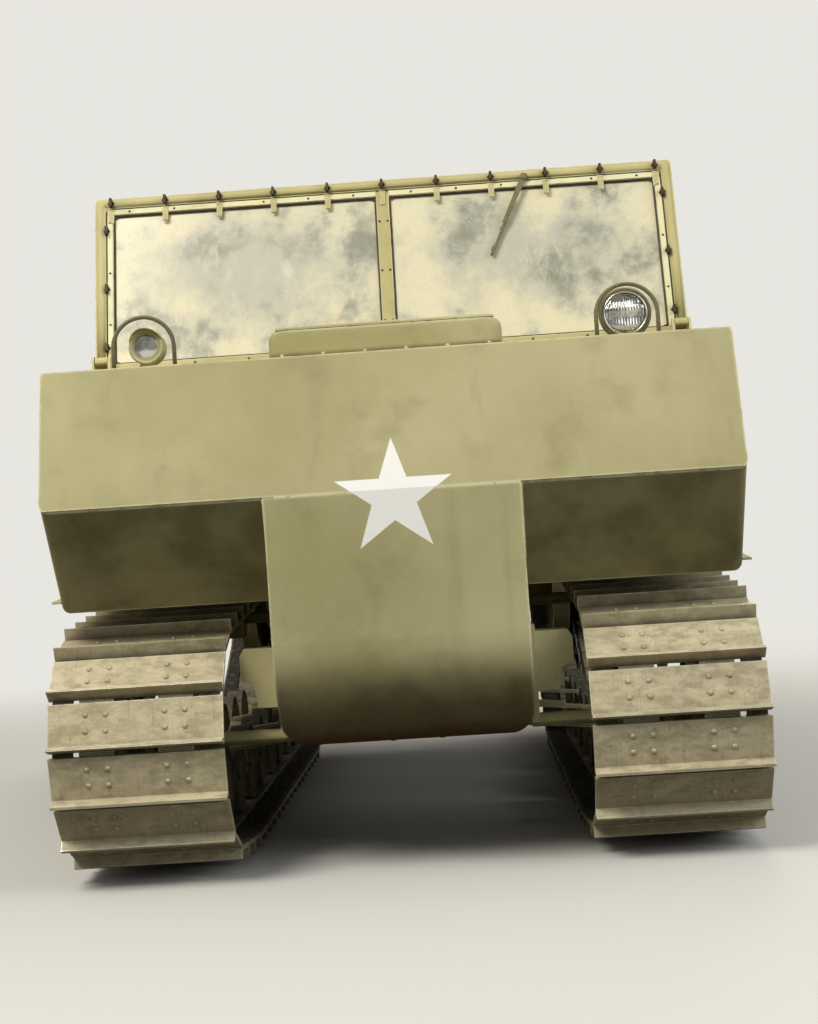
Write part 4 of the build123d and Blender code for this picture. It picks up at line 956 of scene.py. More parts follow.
@dataclass(frozen=True)
class Hub:
    """Cap and ring of bolts on one kind of wheel."""

    cap: tuple
    sides: int
    ring: float
    bolts: int
    bolt_size: float

    def fit(self, work: Work, middle: Vector, side: int) -> None:
        """Turns the cap and sets the bolts round it.

        Args:
            work: What they are added to.
            middle: Middle of the wheel's outer face.
            side: 1 on the vehicle's left, -1 on its right.
        """
        outward = RIGHT * side
        work.turned(self.cap, seat_on(middle, outward, UP), self.sides)
        for turn in turns(self.bolts):
            work.bolt(seat_on(middle + side_view(turn) * self.ring, outward, UP), self.bolt_size)


@dataclass
class RunningGear:
    """Guide horns in the tracks, and the caps and bolts of every wheel."""

    shop: PaintShop
    shoe_count: int = 59
    horn_offset: float = 0.034
    horn_foot: float = 0.034
    horn_tip: float = 0.020
    horn_height: float = 0.040
    horn_thickness: float = 0.003
    belt_thickness: float = 0.015
    strips: tuple = ((-0.160, 0.0225), (0.160, 0.0225), (-0.030, 0.011), (0.030, 0.011))
    strip_near: float = 0.0015
    strip_far: float = 0.008
    rivet_size: float = 0.013
    rivet_rows: tuple = (-0.086, 0.086)
    rivet_half_gap: float = 0.022
    rivet_steps: tuple = (-0.026, 0.010)
    rivet_stand: float = 0.0098
    wheel_count: int = 8
    wheel_gap: float = 0.172
    wheel_dish: float = 0.0125
    wheel_hub: Hub = Hub(
        ((0.033, 0), (0.031, 0.006), (0.022, 0.0095), (0.020, 0.0115), (0.006, 0.0118)), 20, 0.049, 6, 0.011
    )
    idler_hub: Hub = Hub(
        ((0.036, -0.004), (0.034, 0.0096), (0.028, 0.0132), (0.026, 0.0216), (0.008, 0.024)),
        28, 0.052, 8, 0.014,
    )
    sprocket_hub: Hub = Hub(
        ((0.036, -0.004), (0.034, 0.0048), (0.028, 0.0066), (0.026, 0.0108), (0.008, 0.012)),
        28, 0.054, 10, 0.014,
    )
    idler_face: float = 0.682
    sprocket_face: float = 0.670
    clip_inset: float = 0.037
    clip_drop: float = 0.048
    clip_bolt: float = 0.014

    @staticmethod
    def centre(node: str) -> Vector:
        """Middle of a node's pair of wheels, with X nought."""
        low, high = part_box(node)
        return at(0, (low.y + high.y) / 2, (low.z + high.z) / 2)

    @staticmethod
    def radius(node: str) -> float:
        """Radius of a wheel from its node's height."""
        low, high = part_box(node)
        return (high.z - low.z) / 2

    @staticmethod
    def track_middle() -> float:
        """Distance of a track's middle from the vehicle's."""
        low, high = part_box("track_left")
        return (low.x + high.x) / 2

    def loop(self) -> list[tuple[Vector, Vector]]:
        """Follows the belts' outer line round idler, wheels and sprocket.

        Returns:
            For each shoe, the middle of its foot and the direction in which it travels.
        """
        low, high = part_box("road_wheels")
        wheel = self.radius("road_wheels")
        rests = [
            (self.centre("idlers"), self.radius("idlers")),
            (at(0, low.y + wheel, low.z + wheel), wheel),
            (at(0, high.y - wheel, low.z + wheel), wheel),
            (self.centre("sprockets"), self.radius("sprockets")),
        ]
        outward = []
        for (here, near), (there, far) in loop_pairs(rests):
            run = there - here
            share = (near - far) / run.length
            right_hand = at(0, run.z, -run.y).normalized()
            outward.append(run.normalized() * share + right_hand * math.sqrt(1 - share * share))
        line: list[Vector] = []
        for index, (middle, reach) in enumerate(rests):
            start = math.atan2(outward[index - 1].z, outward[index - 1].y)
            turn = (math.atan2(outward[index].z, outward[index].y) - start) % math.tau
            steps = max(2, round(turn / 0.02))
            for angle in spread(start, start + turn, steps + 1):
                line.append(middle + side_view(angle) * (reach + self.belt_thickness))
        return self.paced(line)

    def paced(self, line: list[Vector]) -> list[tuple[Vector, Vector]]:
        """Steps round a closed line in equal paces, one for each shoe.

        Args:
            line: Points of the line.

        Returns:
            Middle and direction of each pace.
        """
        spans = [(there - here).length for here, there in loop_pairs(line)]
        pace, walked, index, joints = sum(spans) / self.shoe_count, 0.0, 0, []
        for shoe in range(self.shoe_count):
            goal = shoe * pace
            while walked + spans[index] < goal:
                walked += spans[index]
                index += 1
            share = (goal - walked) / max(spans[index], 1e-9)
            joints.append(line[index].lerp(line[(index + 1) % len(line)], share))
        return [((here + there) / 2, (there - here).normalized()) for here, there in loop_pairs(joints)]

    def horns(self) -> None:
        """Stands two thin guide plates on each shoe, between the belts."""
        foot, tip, height = self.horn_foot, self.horn_tip, self.horn_height
        outline = [(-foot, 0.0), (foot, 0.0), (tip, height), (-tip, height)]
        for side, name in ((1, "guide_horns_left"), (-1, "guide_horns_right")):
            work = Work(self.shop)
            for middle, along in self.loop():
                axes = Matrix((along, at(0, -along.z, along.y), RIGHT)).transposed().to_4x4()
                for offset in (-self.horn_offset, self.horn_offset):
                    across = side * self.track_middle() + offset - self.horn_thickness / 2
                    place = Matrix.Translation(middle + RIGHT * across) @ axes
                    work.plate(outline, self.horn_thickness, place)
            work.piece(name, self.shop.track, Slot.TRACK)

    def edge_belts(self) -> None:
        """Runs thin rubber belts behind the shoes, along the edges and beside the horns."""
        shoes = self.loop()
        pace = (shoes[1][0] - shoes[0][0]).length / 2
        near, far = self.strip_near, self.strip_far
        work = Work(self.shop)
        for side in (1, -1):
            for offset, half in self.strips:
                across = side * self.track_middle() + offset
                corners = ((-half, near), (-half, far), (half, far), (half, near))
                rings = []
                for (here, along), (_, later) in loop_pairs(shoes):
                    inward = at(0, -along.z, along.y)
                    joint = (inward + at(0, -later.z, later.y)).normalized()
                    for spot, lean in ((here, inward), (here + along * pace, joint)):
                        rings.append([spot + RIGHT * (across + x) + lean * depth for x, depth in corners])
                work.rings(rings, False, True)
        work.piece("track_edge_belts", self.shop.rubber, Slot.TYRE)

    def shoe_rivets(self) -> None:
        """Rivets the belts to every shoe."""
        gaps = (-self.rivet_half_gap, self.rivet_half_gap)
        rows = [belt + gap for belt in self.rivet_rows for gap in gaps]
        for side, name in ((1, "shoe_rivets_left"), (-1, "shoe_rivets_right")):
            work = Work(self.shop)
            for middle, along in self.loop():
                outward = at(0, along.z, -along.y)
                for row, step in product(rows, self.rivet_steps):
                    spot = middle + outward * self.rivet_stand + along * step
                    spot = spot + RIGHT * (side * self.track_middle() + row)
                    work.rivet(seat_on(spot, outward), self.rivet_size)
            work.piece(name, self.shop.track, Slot.TRACK)

    def caps(self) -> None:
        """Puts hub caps and bolts on the wheels' outer faces."""
        low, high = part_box("road_wheels")
        wheel = self.radius("road_wheels")
        work = Work(self.shop)
        faces = (high.x - self.wheel_dish, high.x - self.wheel_gap - self.wheel_dish)
        rows = spread(low.y + wheel, high.y - wheel, self.wheel_count)
        for side, y, face in product((1, -1), rows, faces):
            self.wheel_hub.fit(work, at(side * face, y, low.z + wheel), side)
        work.piece("wheel_caps", self.shop.chassis, Slot.CHASSIS)
        work = Work(self.shop)
        for node, hub, face in (
            ("idlers", self.idler_hub, self.idler_face),
            ("sprockets", self.sprocket_hub, self.sprocket_face),
        ):
            for side in (1, -1):
                hub.fit(work, self.centre(node) + RIGHT * side * face, side)
        work.piece("hub_caps", self.shop.chassis, Slot.CHASSIS)

    def spring_bolts(self) -> None:
        """Bolts the springs' clips to the belly."""
        low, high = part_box("leaf_springs")
        work = Work(self.shop)
        for y in spread(low.y + self.clip_inset, high.y - self.clip_inset, 4):
            for x, offset in product((-0.062, 0.062), (-0.026, 0.026)):
                spot = at(x, y + offset, high.z - self.clip_drop)
                work.bolt(seat_on(spot, -UP), self.clip_bolt)
        work.piece("spring_clip_bolts", self.shop.fasteners, Slot.CHASSIS)

    def build(self) -> None:
        """Makes all pieces of the running gear."""
        for job in (self.horns, self.edge_belts, self.shoe_rivets, self.caps, self.spring_bolts):
            job()


@dataclass
class Windshield:
    """Turn buttons, glazing strips, screws and the wiper's housing on the folding windshield."""

    shop: PaintShop
    lean: float = math.radians(15.2)
    foot: Vector = field(default_factory=lambda: at(0, -1.041, 1.158))
    width: float = 1.454
    height: float = 0.493
    bar: float = 0.046
    thickness: float = 0.022
    button_count: int = 11
    button_inset: float = 0.042
    button_drop: float = 0.0156
    side_drops: tuple = (0.090, 0.248, 0.405)
    tube_inset: float = 0.0145
    tube_radius: float = 0.0125
    tube_rise: float = 0.006
    tube_bend: float = 0.008
    joint_inset: float = 0.0295
    joint_radius: float = 0.0022
    strip_half: float = 0.0065
    strip_thickness: float = 0.002
    mullion: float = 0.016
    pin_size: float = 0.006
    pane_edge: float = 0.0165
    seal_radius: float = 0.0042
    seal_depth: float = 0.0065
    hub_inset: float = 0.010

    def slope(self) -> Vector:
        """The way up along the leaning frame."""
        return at(0, math.sin(self.lean), math.cos(self.lean))

    def normal(self) -> Vector:
        """The way the frame's front faces."""
        return at(0, -math.cos(self.lean), math.sin(self.lean))

    def spot(self, across: float, up: float, out: float) -> Vector:
        """A point of the leaning frame: along X, up its slope from the foot, and forward of its middle."""
        return self.foot + RIGHT * across + self.slope() * up + self.normal() * out

    def seat(self, across: float, up: float, out: float) -> Matrix:
        """The place at a point of the leaning frame that faces forward."""
        return seat_on(self.spot(across, up, out), self.normal())

    def buttons(self) -> None:
        """Sets the turn buttons of the curtain along the top rail and the posts."""
        face, reach = self.thickness / 2, self.width / 2
        first = reach - self.button_inset
        spots = [(x, self.height - self.button_drop) for x in spread(-first, first, self.button_count)]
        post = reach - self.joint_inset
        spots += [(side * post, self.height - drop) for side in SIDES for drop in self.side_drops]
        dark, light = Work(self.shop), Work(self.shop)
        diamond = [(0.0, -0.0125), (0.009, 0.0), (0.0, 0.0125), (-0.009, 0.0)]
        tab = [(-0.0065, -0.024), (0.0065, -0.024), (0.0085, 0.017), (-0.0085, 0.017)]
        for index, (across, up) in enumerate(spots):
            on_rail = index < self.button_count
            place = self.seat(across, up, face + (self.tube_rise if on_rail else 0.0018) - 0.0005)
            dark.plate(diamond, 0.003, place, 0.92)
            dark.turned([(0.0045, 0.002), (0.0035, 0.008), (0.0045, 0.010)], place, 10)
            dark.slab(0.0035, 0.011, 0.0135, place, 0.9)
            if on_rail:
                light.plate(tab, 0.0028, self.seat(across, up - 0.031, face + 0.001), 0.9)
                light.rivet(self.seat(across, up - 0.026, face + 0.0028), self.pin_size)
        dark.piece("turn_buttons", self.shop.fasteners, Slot.TRIM, Body.WINDSHIELD)
        light.piece("button_tabs", self.shop.shield, Slot.PAINT, Body.WINDSHIELD)

    def outline(self, inset: float, out: float) -> list[Vector]:
        """Follows the posts and the top rail.

        Args:
            inset: How far inside the frame's outer edge.
            out: How far forward of the frame's middle.

        Returns:
            Points from the right post's foot over the top to the left one's.
        """
        side, top, turn = self.width / 2 - inset, self.height - inset, self.tube_bend
        bend = [(side, top - turn), (side - turn * 0.3, top - turn * 0.3), (side - turn, top)]
        half = [(side, 0.010), (side, 0.25), *bend, (side / 2, top)]
        points = [(-x, up) for x, up in half] + [(0.0, top)] + half[::-1]
        return [self.spot(x, up, out) for x, up in points]

    def mouldings(self) -> None:
        """Rolls the frame's outer tube, its dark joint and the pale strips that hold the panes."""
        face = self.thickness / 2
        tube, joint, strips, pins = (Work(self.shop) for _ in range(4))
        middle_line = self.outline(self.tube_inset, face + self.tube_rise - self.tube_radius)
        tube.rod(middle_line, self.tube_radius, 14)
        joint.rod(self.outline(self.joint_inset, face - 0.0002), self.joint_radius, 8)
        width, thin, inset = self.strip_half, self.strip_thickness, self.joint_inset + 0.002
        near, far = self.mullion, self.width / 2 - inset
        low, high = self.bar, self.height - inset
        for side in SIDES:
            lying = self.seat(side * (near + far) / 2, high - width, face)
            strips.slab((far - near) / 2, width, thin, lying, 0.998)
            standing = self.seat(side * (far - width), (low + high) / 2 - width, face)
            strips.slab(width, (high - low) / 2 - width, thin, standing, 0.99)
            for step in range(6):
                share = (step + 0.5) / 6
                across = side * (near + (far - near) * share)
                pins.rivet(self.seat(across, high - width, face + thin), self.pin_size)
                if step % 2:
                    up = low + (high - low) * share
                    pins.rivet(self.seat(side * (far - width), up, face + thin), self.pin_size)
        tube.piece("shield_tube", self.shop.shield, Slot.PAINT, Body.WINDSHIELD)
        joint.piece("shield_joint", self.shop.fasteners, Slot.TRIM, Body.WINDSHIELD)
        strips.piece("shield_strips", self.shop.strip, Slot.PAINT, Body.WINDSHIELD)
        pins.piece("shield_pins", self.shop.fasteners, Slot.TRIM, Body.WINDSHIELD)

    def glazing(self) -> None:
        """Runs a dark strip round each pane, and screws the frame's inner edges."""
        face, clear = self.thickness / 2, self.bar + 0.0005
        strip, screws = Work(self.shop), Work(self.shop)
        bottom, top = clear, self.height - clear
        for side in SIDES:
            near, far = side * self.pane_edge, side * (self.width / 2 - clear)
            corners = [Vector(pair) for pair in ((near, bottom), (far, bottom), (far, top), (near, top))]
            route = [
                self.spot(*here.lerp(there, share), face - self.seal_depth)
                for here, there in loop_pairs(corners) for share in (0.02, 0.35, 0.65, 0.98)
            ]
            strip.rod(route, self.seal_radius, 8, True)
            for step in range(5):
                screws.rivet(self.seat(near + (far - near) * (step + 0.5) / 5, bottom - 0.010, face), 0.007)
            for step in range(3):
                up = bottom + (top - bottom) * (step + 0.5) / 3
                screws.rivet(self.seat(side * 0.010, up, face), 0.006)
        strip.piece("glazing_strips", self.shop.trim, Slot.TRIM, Body.WINDSHIELD)
        screws.piece("shield_screws", self.shop.fasteners, Slot.TRIM, Body.WINDSHIELD)

    def wiper_motor(self) -> None:
        """Hangs the wiper's housing behind the top rail, with its hand lever."""
        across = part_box("wiper")[1].x - self.hub_inset
        work = Work(self.shop)
        place = seat_on(self.spot(across, self.height - 0.026, -self.thickness / 2), -self.normal())
        work.slab(0.038, 0.018, 0.034, place, 0.88)
        work.turned([(0.015, 0.033), (0.015, 0.042), (0.012, 0.046), (0.004, 0.047)], place, 18)
        lever = [(0.0, 0.0, 0.044), (0.012, 0.03, 0.05), (0.016, 0.055, 0.05)]
        work.rod([place @ Vector(point) for point in lever], 0.003)
        work.piece("wiper_motor", self.shop.trim, Slot.TRIM, Body.WINDSHIELD)

    def wiper_arm(self) -> None:
        """Lays a pressed arm and a rubber holder over the wiper."""
        low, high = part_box("wiper")
        normal = self.normal()
        hub = self.spot(high.x - self.hub_inset, self.height - self.bar / 2, 0)
        foot = at(low.x + 0.003, 0, low.z + 0.004)
        drop = (hub.z - foot.z) / math.cos(self.lean)
        along = (RIGHT * (foot.x - hub.x) - self.slope() * drop).normalized()
        work = Work(self.shop)
        arm = seat_on(hub + normal * (self.thickness / 2 + 0.0085), normal, along.cross(normal))
        flip = 1 if (arm.to_3x3() @ at(0, 1, 0)).dot(along) > 0 else -1
        blade = [(-0.0075, 0), (0.0075, 0), (0.0045, flip * 0.135), (-0.0045, flip * 0.135)]
        work.plate(blade[::flip], 0.0022, arm, 0.97)
        work.turned([(0.0095, -0.003), (0.0095, 0.004), (0.007, 0.006), (0.002, 0.0065)], arm, 18)
        for reach in (0.085, 0.145, 0.205):
            work.slab(0.0045, 0.006, 0.008, arm @ Matrix.Translation((0, flip * reach, -0.012)), 0.8)
        work.piece("wiper_arm", self.shop.wiper, Slot.TRIM, Body.WIPER)

    def build(self) -> None:
        """Makes all pieces of the windshield."""
        for job in (self.mouldings, self.buttons, self.glazing, self.wiper_motor, self.wiper_arm):
            job()


@dataclass
class Lamps:
    """Fluted headlamp lens and plated rim, shaded blackout lamp and tail lamp lenses."""

    shop: PaintShop
    rim_width: float = 0.011
    flutes: int = 15
    flute_depth: float = 0.0030
    wave_depth: float = 0.0016
    crown: float = 0.007
    lens_rows: int = 26
    lens_sides: int = 96
    arch_steps: int = 24
    visor_reach: float = 0.022
    tail_ribs: int = 7

    def lens(self) -> None:
        """Domes the headlamp's lens and presses upright flutes into it."""
        low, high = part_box("headlamp_lens")
        middle = at((low.x + high.x) / 2, low.y + 0.004, (low.z + high.z) / 2)
        radius = (high.x - low.x) / 2
        work = Work(self.shop)
        rings = []
        for row in range(self.lens_rows + 1):
            reach = radius * (1 - row / self.lens_rows) + 0.0004
            fade = min(1.0, 5 * (1 - reach / radius))
            dome = self.crown * (1 - (reach / radius) ** 2)
            ring = []
            for turn in turns(self.lens_sides):
                x, z = reach * math.cos(turn), reach * math.sin(turn)
                flute = self.flute_depth * abs(math.sin(math.pi * self.flutes * x / (2 * radius))) * fade
                bend = self.wave_depth * math.sin(math.pi * z / radius * 2.5) * fade
                ring.append(middle + at(x, -dome - flute - bend, z))
            rings.append(ring)
        work.rings(rings, True)
        made = work.piece("headlamp_glass", self.shop.clear_lens, Slot.LAMP)
        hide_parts("headlamp_lens")

    def rims(self) -> None:
        """Rolls the headlamp's rim in olive paint darkened as painted shade, and the plated bead inside it.
        """
        low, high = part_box("headlamp")
        outer = (high.x - low.x) / 2
        inner = outer - self.rim_width
        middle = at((low.x + high.x) / 2, low.y, high.z - outer)
        profile = [
            (outer + 0.0006, -0.014), (outer + 0.0016, -0.006), (outer, 0.001), (outer - 0.003, 0.0035),
            (outer - 0.007, 0.0035), (inner + 0.0005, 0.001), (inner - 0.001, -0.004),
        ]
        work, bead = Work(self.shop), Work(self.shop)
        work.turned(profile, seat_on(middle, FORWARD), 56, capped=False)
        work.bolt(seat_on(middle + at(0, -0.001, -outer + 0.004), FORWARD), 0.006)
        work.piece("headlamp_rim", self.shop.hoop)
        proud = FORWARD * 0.006 / inner
        circle = [middle + (front_view(turn) + proud) * (inner + 0.0005) for turn in turns(56)]
        bead.rod(circle, 0.0024, 8, True)
        bead.piece("headlamp_bead", self.shop.chrome, Slot.LAMP)

    def guards(self) -> None:
        """Bends a hoop guard over each lamp and bolts its feet down."""
        low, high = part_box("lamp_guards")
        lamp_low, lamp_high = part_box("headlamp")
        rod = (high.y - low.y) / 2
        middle = (lamp_low.x + lamp_high.x) / 2
        reach = high.x - middle - rod
        work = Work(self.shop)
        for side in SIDES:
            centre = at(side * middle, (low.y + high.y) / 2, high.z - rod - reach)
            arch = [centre + front_view(turn) * reach for turn in spread(0, math.pi, self.arch_steps + 1)]
            feet = [at(end.x, end.y, low.z) for end in (arch[0], arch[-1])]
            work.rod([feet[0], *arch, feet[1]], rod * 0.96, 12)
            for foot in feet:
                work.slab(0.013, 0.009, 0.003, seat_on(foot, UP), 0.95)
                for across in (-0.009, 0.009):
                    work.rivet(seat_on(foot + RIGHT * across + UP * 0.003, UP), 0.005)
        # The hoops take the olive paint darkened as painted shade.
        made = work.piece("lamp_hoops", self.shop.hoop)
        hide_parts("lamp_guards")

    def blackout(self) -> None:
        """Gives the blackout lamp its hood and slotted mask."""
        low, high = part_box("blackout_lamp")
        radius = (high.x - low.x) / 2
        middle = at((low.x + high.x) / 2, low.y, high.z - radius)
        place = seat_on(middle, FORWARD)
        work, glass = Work(self.shop), Work(self.shop)
        bezel = [(0.97, -0.004), (0.97, 0.003), (0.86, 0.006), (0.84, 0.002)]
        work.turned([(radius * reach, height) for reach, height in bezel], place, 36)
        rings = []
        for share in spread(0, 1, 13):
            edge = front_view(math.radians(20 + 140 * share))
            root = middle + edge * radius * 0.93
            reach = 0.004 + self.visor_reach * math.sin(math.pi * share)
            tip = middle + edge * radius * 0.99 + FORWARD * reach
            rings.append([root, tip, tip + edge * 0.0015, root + edge * 0.0015])
        work.rings(rings, False)
        work.piece("blackout_hood", self.shop.hull)
        dome = [(0.84, 0.0), (0.6, 0.003), (0.1, 0.005)]
        glass.turned([(radius * reach, height) for reach, height in dome], place, 32)
        glass.piece("blackout_lens", self.shop.clear_lens, Slot.LAMP)

    def tails(self) -> None:
        """Sets ribbed red lenses in the tail lamps."""
        low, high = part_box("tail_lamps")
        radius = (high.z - low.z) / 2
        work, rim = Work(self.shop), Work(self.shop)
        ribs = [(radius * 0.74, 0.0)]
        for step in range(self.tail_ribs):
            reach = radius * (0.70 - 0.09 * step)
            ribs += [(reach, 0.005 + 0.0006 * step), (reach - 0.0014, 0.0038 + 0.0006 * step)]
        bezel = [(0.82, 0.0), (0.82, 0.0035), (0.75, 0.0048), (0.72, 0.002)]
        for side in SIDES:
            middle = at(side * (high.x - radius), high.y - 0.0015, (low.z + high.z) / 2)
            place = seat_on(middle, -FORWARD)
            work.turned(ribs, place, 40)
            rim.turned([(radius * reach, height) for reach, height in bezel], place, 40)
            for across in (-0.6, 0.6):
                rim.rivet(place @ Matrix.Translation((across * radius * 1.28, 0, -0.001)), 0.006)
        work.piece("tail_lenses", self.shop.red_lens, Slot.LAMP)
        rim.piece("tail_rims", self.shop.trim, Slot.TRIM)

    def build(self) -> None:
        """Makes all pieces of the lamps."""
        for job in (self.lens, self.rims, self.guards, self.blackout, self.tails):
            job()


@dataclass
class Ventilator:
    """The hood on the front deck with round shoulders, and its hinged lid."""

    shop: PaintShop
    corner: float = 0.020
    shoulder: float = 0.024
    wall: float = 0.004
    depth: float = 0.165
    height: float = 0.070
    lid_thickness: float = 0.007
    lid_edge: tuple = ((0.0, 0.0), (0.0, 0.4), (0.0008, 0.7), (0.0024, 0.9), (0.005, 1.0), (0.012, 1.0))
    knuckle: float = 0.006
    pin_rise: float = 0.0038
    hinges: tuple = (-0.175, 0.175)
    corner_steps: int = 6
    shoulder_steps: int = 8

    def __post_init__(self) -> None:
        """Finds the middle of the hood's foot and half its width."""
        low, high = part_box("vent_hood")
        self.centre = at((low.x + high.x) / 2, low.y + self.depth / 2, low.z)
        self.half_x = (high.x - low.x) / 2

    def ring(self, half_x: float, half_y: float, height: float) -> list[Vector]:
        """Draws one level of the hood with round corners.

        Args:
            half_x: Half its width.
            half_y: Half its depth.
            height: Height over the foot.

        Returns:
            The level's points, counter-clockwise.
        """
        points = []
        for corner, (side_x, side_y) in enumerate(((1, 1), (-1, 1), (-1, -1), (1, -1))):
            for share in spread(0, 1, self.corner_steps + 1):
                turn = math.radians(90 * (corner + share))
                x = side_x * (half_x - self.corner) + self.corner * math.cos(turn)
                y = side_y * (half_y - self.corner) + self.corner * math.sin(turn)
                points.append(self.centre + at(x, y, height))
        return points

    def pin(self, across: float) -> Vector:
        """A point of the lid's hinge line."""
        back = self.depth / 2 + self.knuckle + 0.001
        return self.centre + at(across, back, self.height + self.pin_rise)

    def hood(self) -> None:
        """Raises the hood's walls and rolls their shoulders."""
        half_x, half_y, knuckle = self.half_x, self.depth / 2, self.knuckle
        start = self.height - self.shoulder
        rings = [self.ring(half_x, half_y, height) for height in (0.0, start * 0.5, start)]
        for share in spread(0, 1, self.shoulder_steps + 1)[1:]:
            turn = math.radians(90 * share)
            gone = 1 - math.cos(turn)
            rise = start + self.shoulder * math.sin(turn)
            rings.append(self.ring(half_x - self.shoulder * gone, half_y - 0.0022 * gone**2, rise))
        inner_x, inner_y = half_x - self.shoulder - 0.006, half_y - self.wall
        rings += [self.ring(inner_x, inner_y, height) for height in (self.height, 0.0)]
        work = Work(self.shop)
        work.rings(rings, True, True)
        standing = Matrix(((0, 0, 1), (1, 0, 0), (0, 1, 0))).to_4x4()
        leg = [(-knuckle, -0.040), (0.0, -0.040), (0.0, 0.0), (-knuckle, 0.0)]
        for across in self.hinges:
            for offset in (-0.0195, 0.0155):
                pin = self.pin(across + offset)
                work.turned([(knuckle, 0), (knuckle, 0.004)], seat_on(pin, RIGHT, UP), 18)
                work.plate(leg, 0.004, Matrix.Translation(pin) @ standing)
        for across in spread(0.030 - half_x, half_x - 0.030, 6):
            work.rivet(seat_on(self.centre + at(across, -half_y, 0.012), FORWARD), 0.007)
        made = work.piece("ventilator_hood", self.shop.hull)
        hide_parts("vent_hood")

    def lid(self) -> None:
        """Lays the lid with rolled edges, its knuckles and its finger pull."""
        reach, half_y, seat = self.half_x - self.shoulder + 0.008, self.depth / 2, self.height + 0.0004
        work = Work(self.shop)
        rings = []
        for inset, share in self.lid_edge:
            rise = seat + self.lid_thickness * share
            rings.append(self.ring(reach - inset, half_y - inset, rise))
        work.rings(rings, False)
        barrel = self.knuckle * 0.96
        for across in self.hinges:
            pin = self.pin(across - 0.015)
            work.turned([(barrel, 0), (barrel, 0.030)], seat_on(pin, RIGHT, UP), 18)
            leaf = seat_on(self.centre + at(across, half_y - 0.004, seat + 0.001), UP)
            work.plate(oblong(0.015, -0.022, 0.010), 0.0072, leaf, 0.97)
            for offset in (-0.009, 0.009):
                work.rivet(leaf @ Matrix.Translation((offset, -0.012, 0.0072)), 0.0055)
        pull = self.centre + at(0, -half_y + 0.024, seat + self.lid_thickness - 0.0005)
        route = [(-0.034, 0.0), (-0.028, 0.0018), (0.028, 0.0018), (0.034, 0.0)]
        work.rod([pull + at(x, 0, z) for x, z in route], 0.0016)
        made = work.piece("ventilator_lid", self.shop.lids, body=Body.VENT_LID)
        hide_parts("vent_lid")

    def build(self) -> None:
        """Makes the hood and its lid."""
        self.hood()
        self.lid()


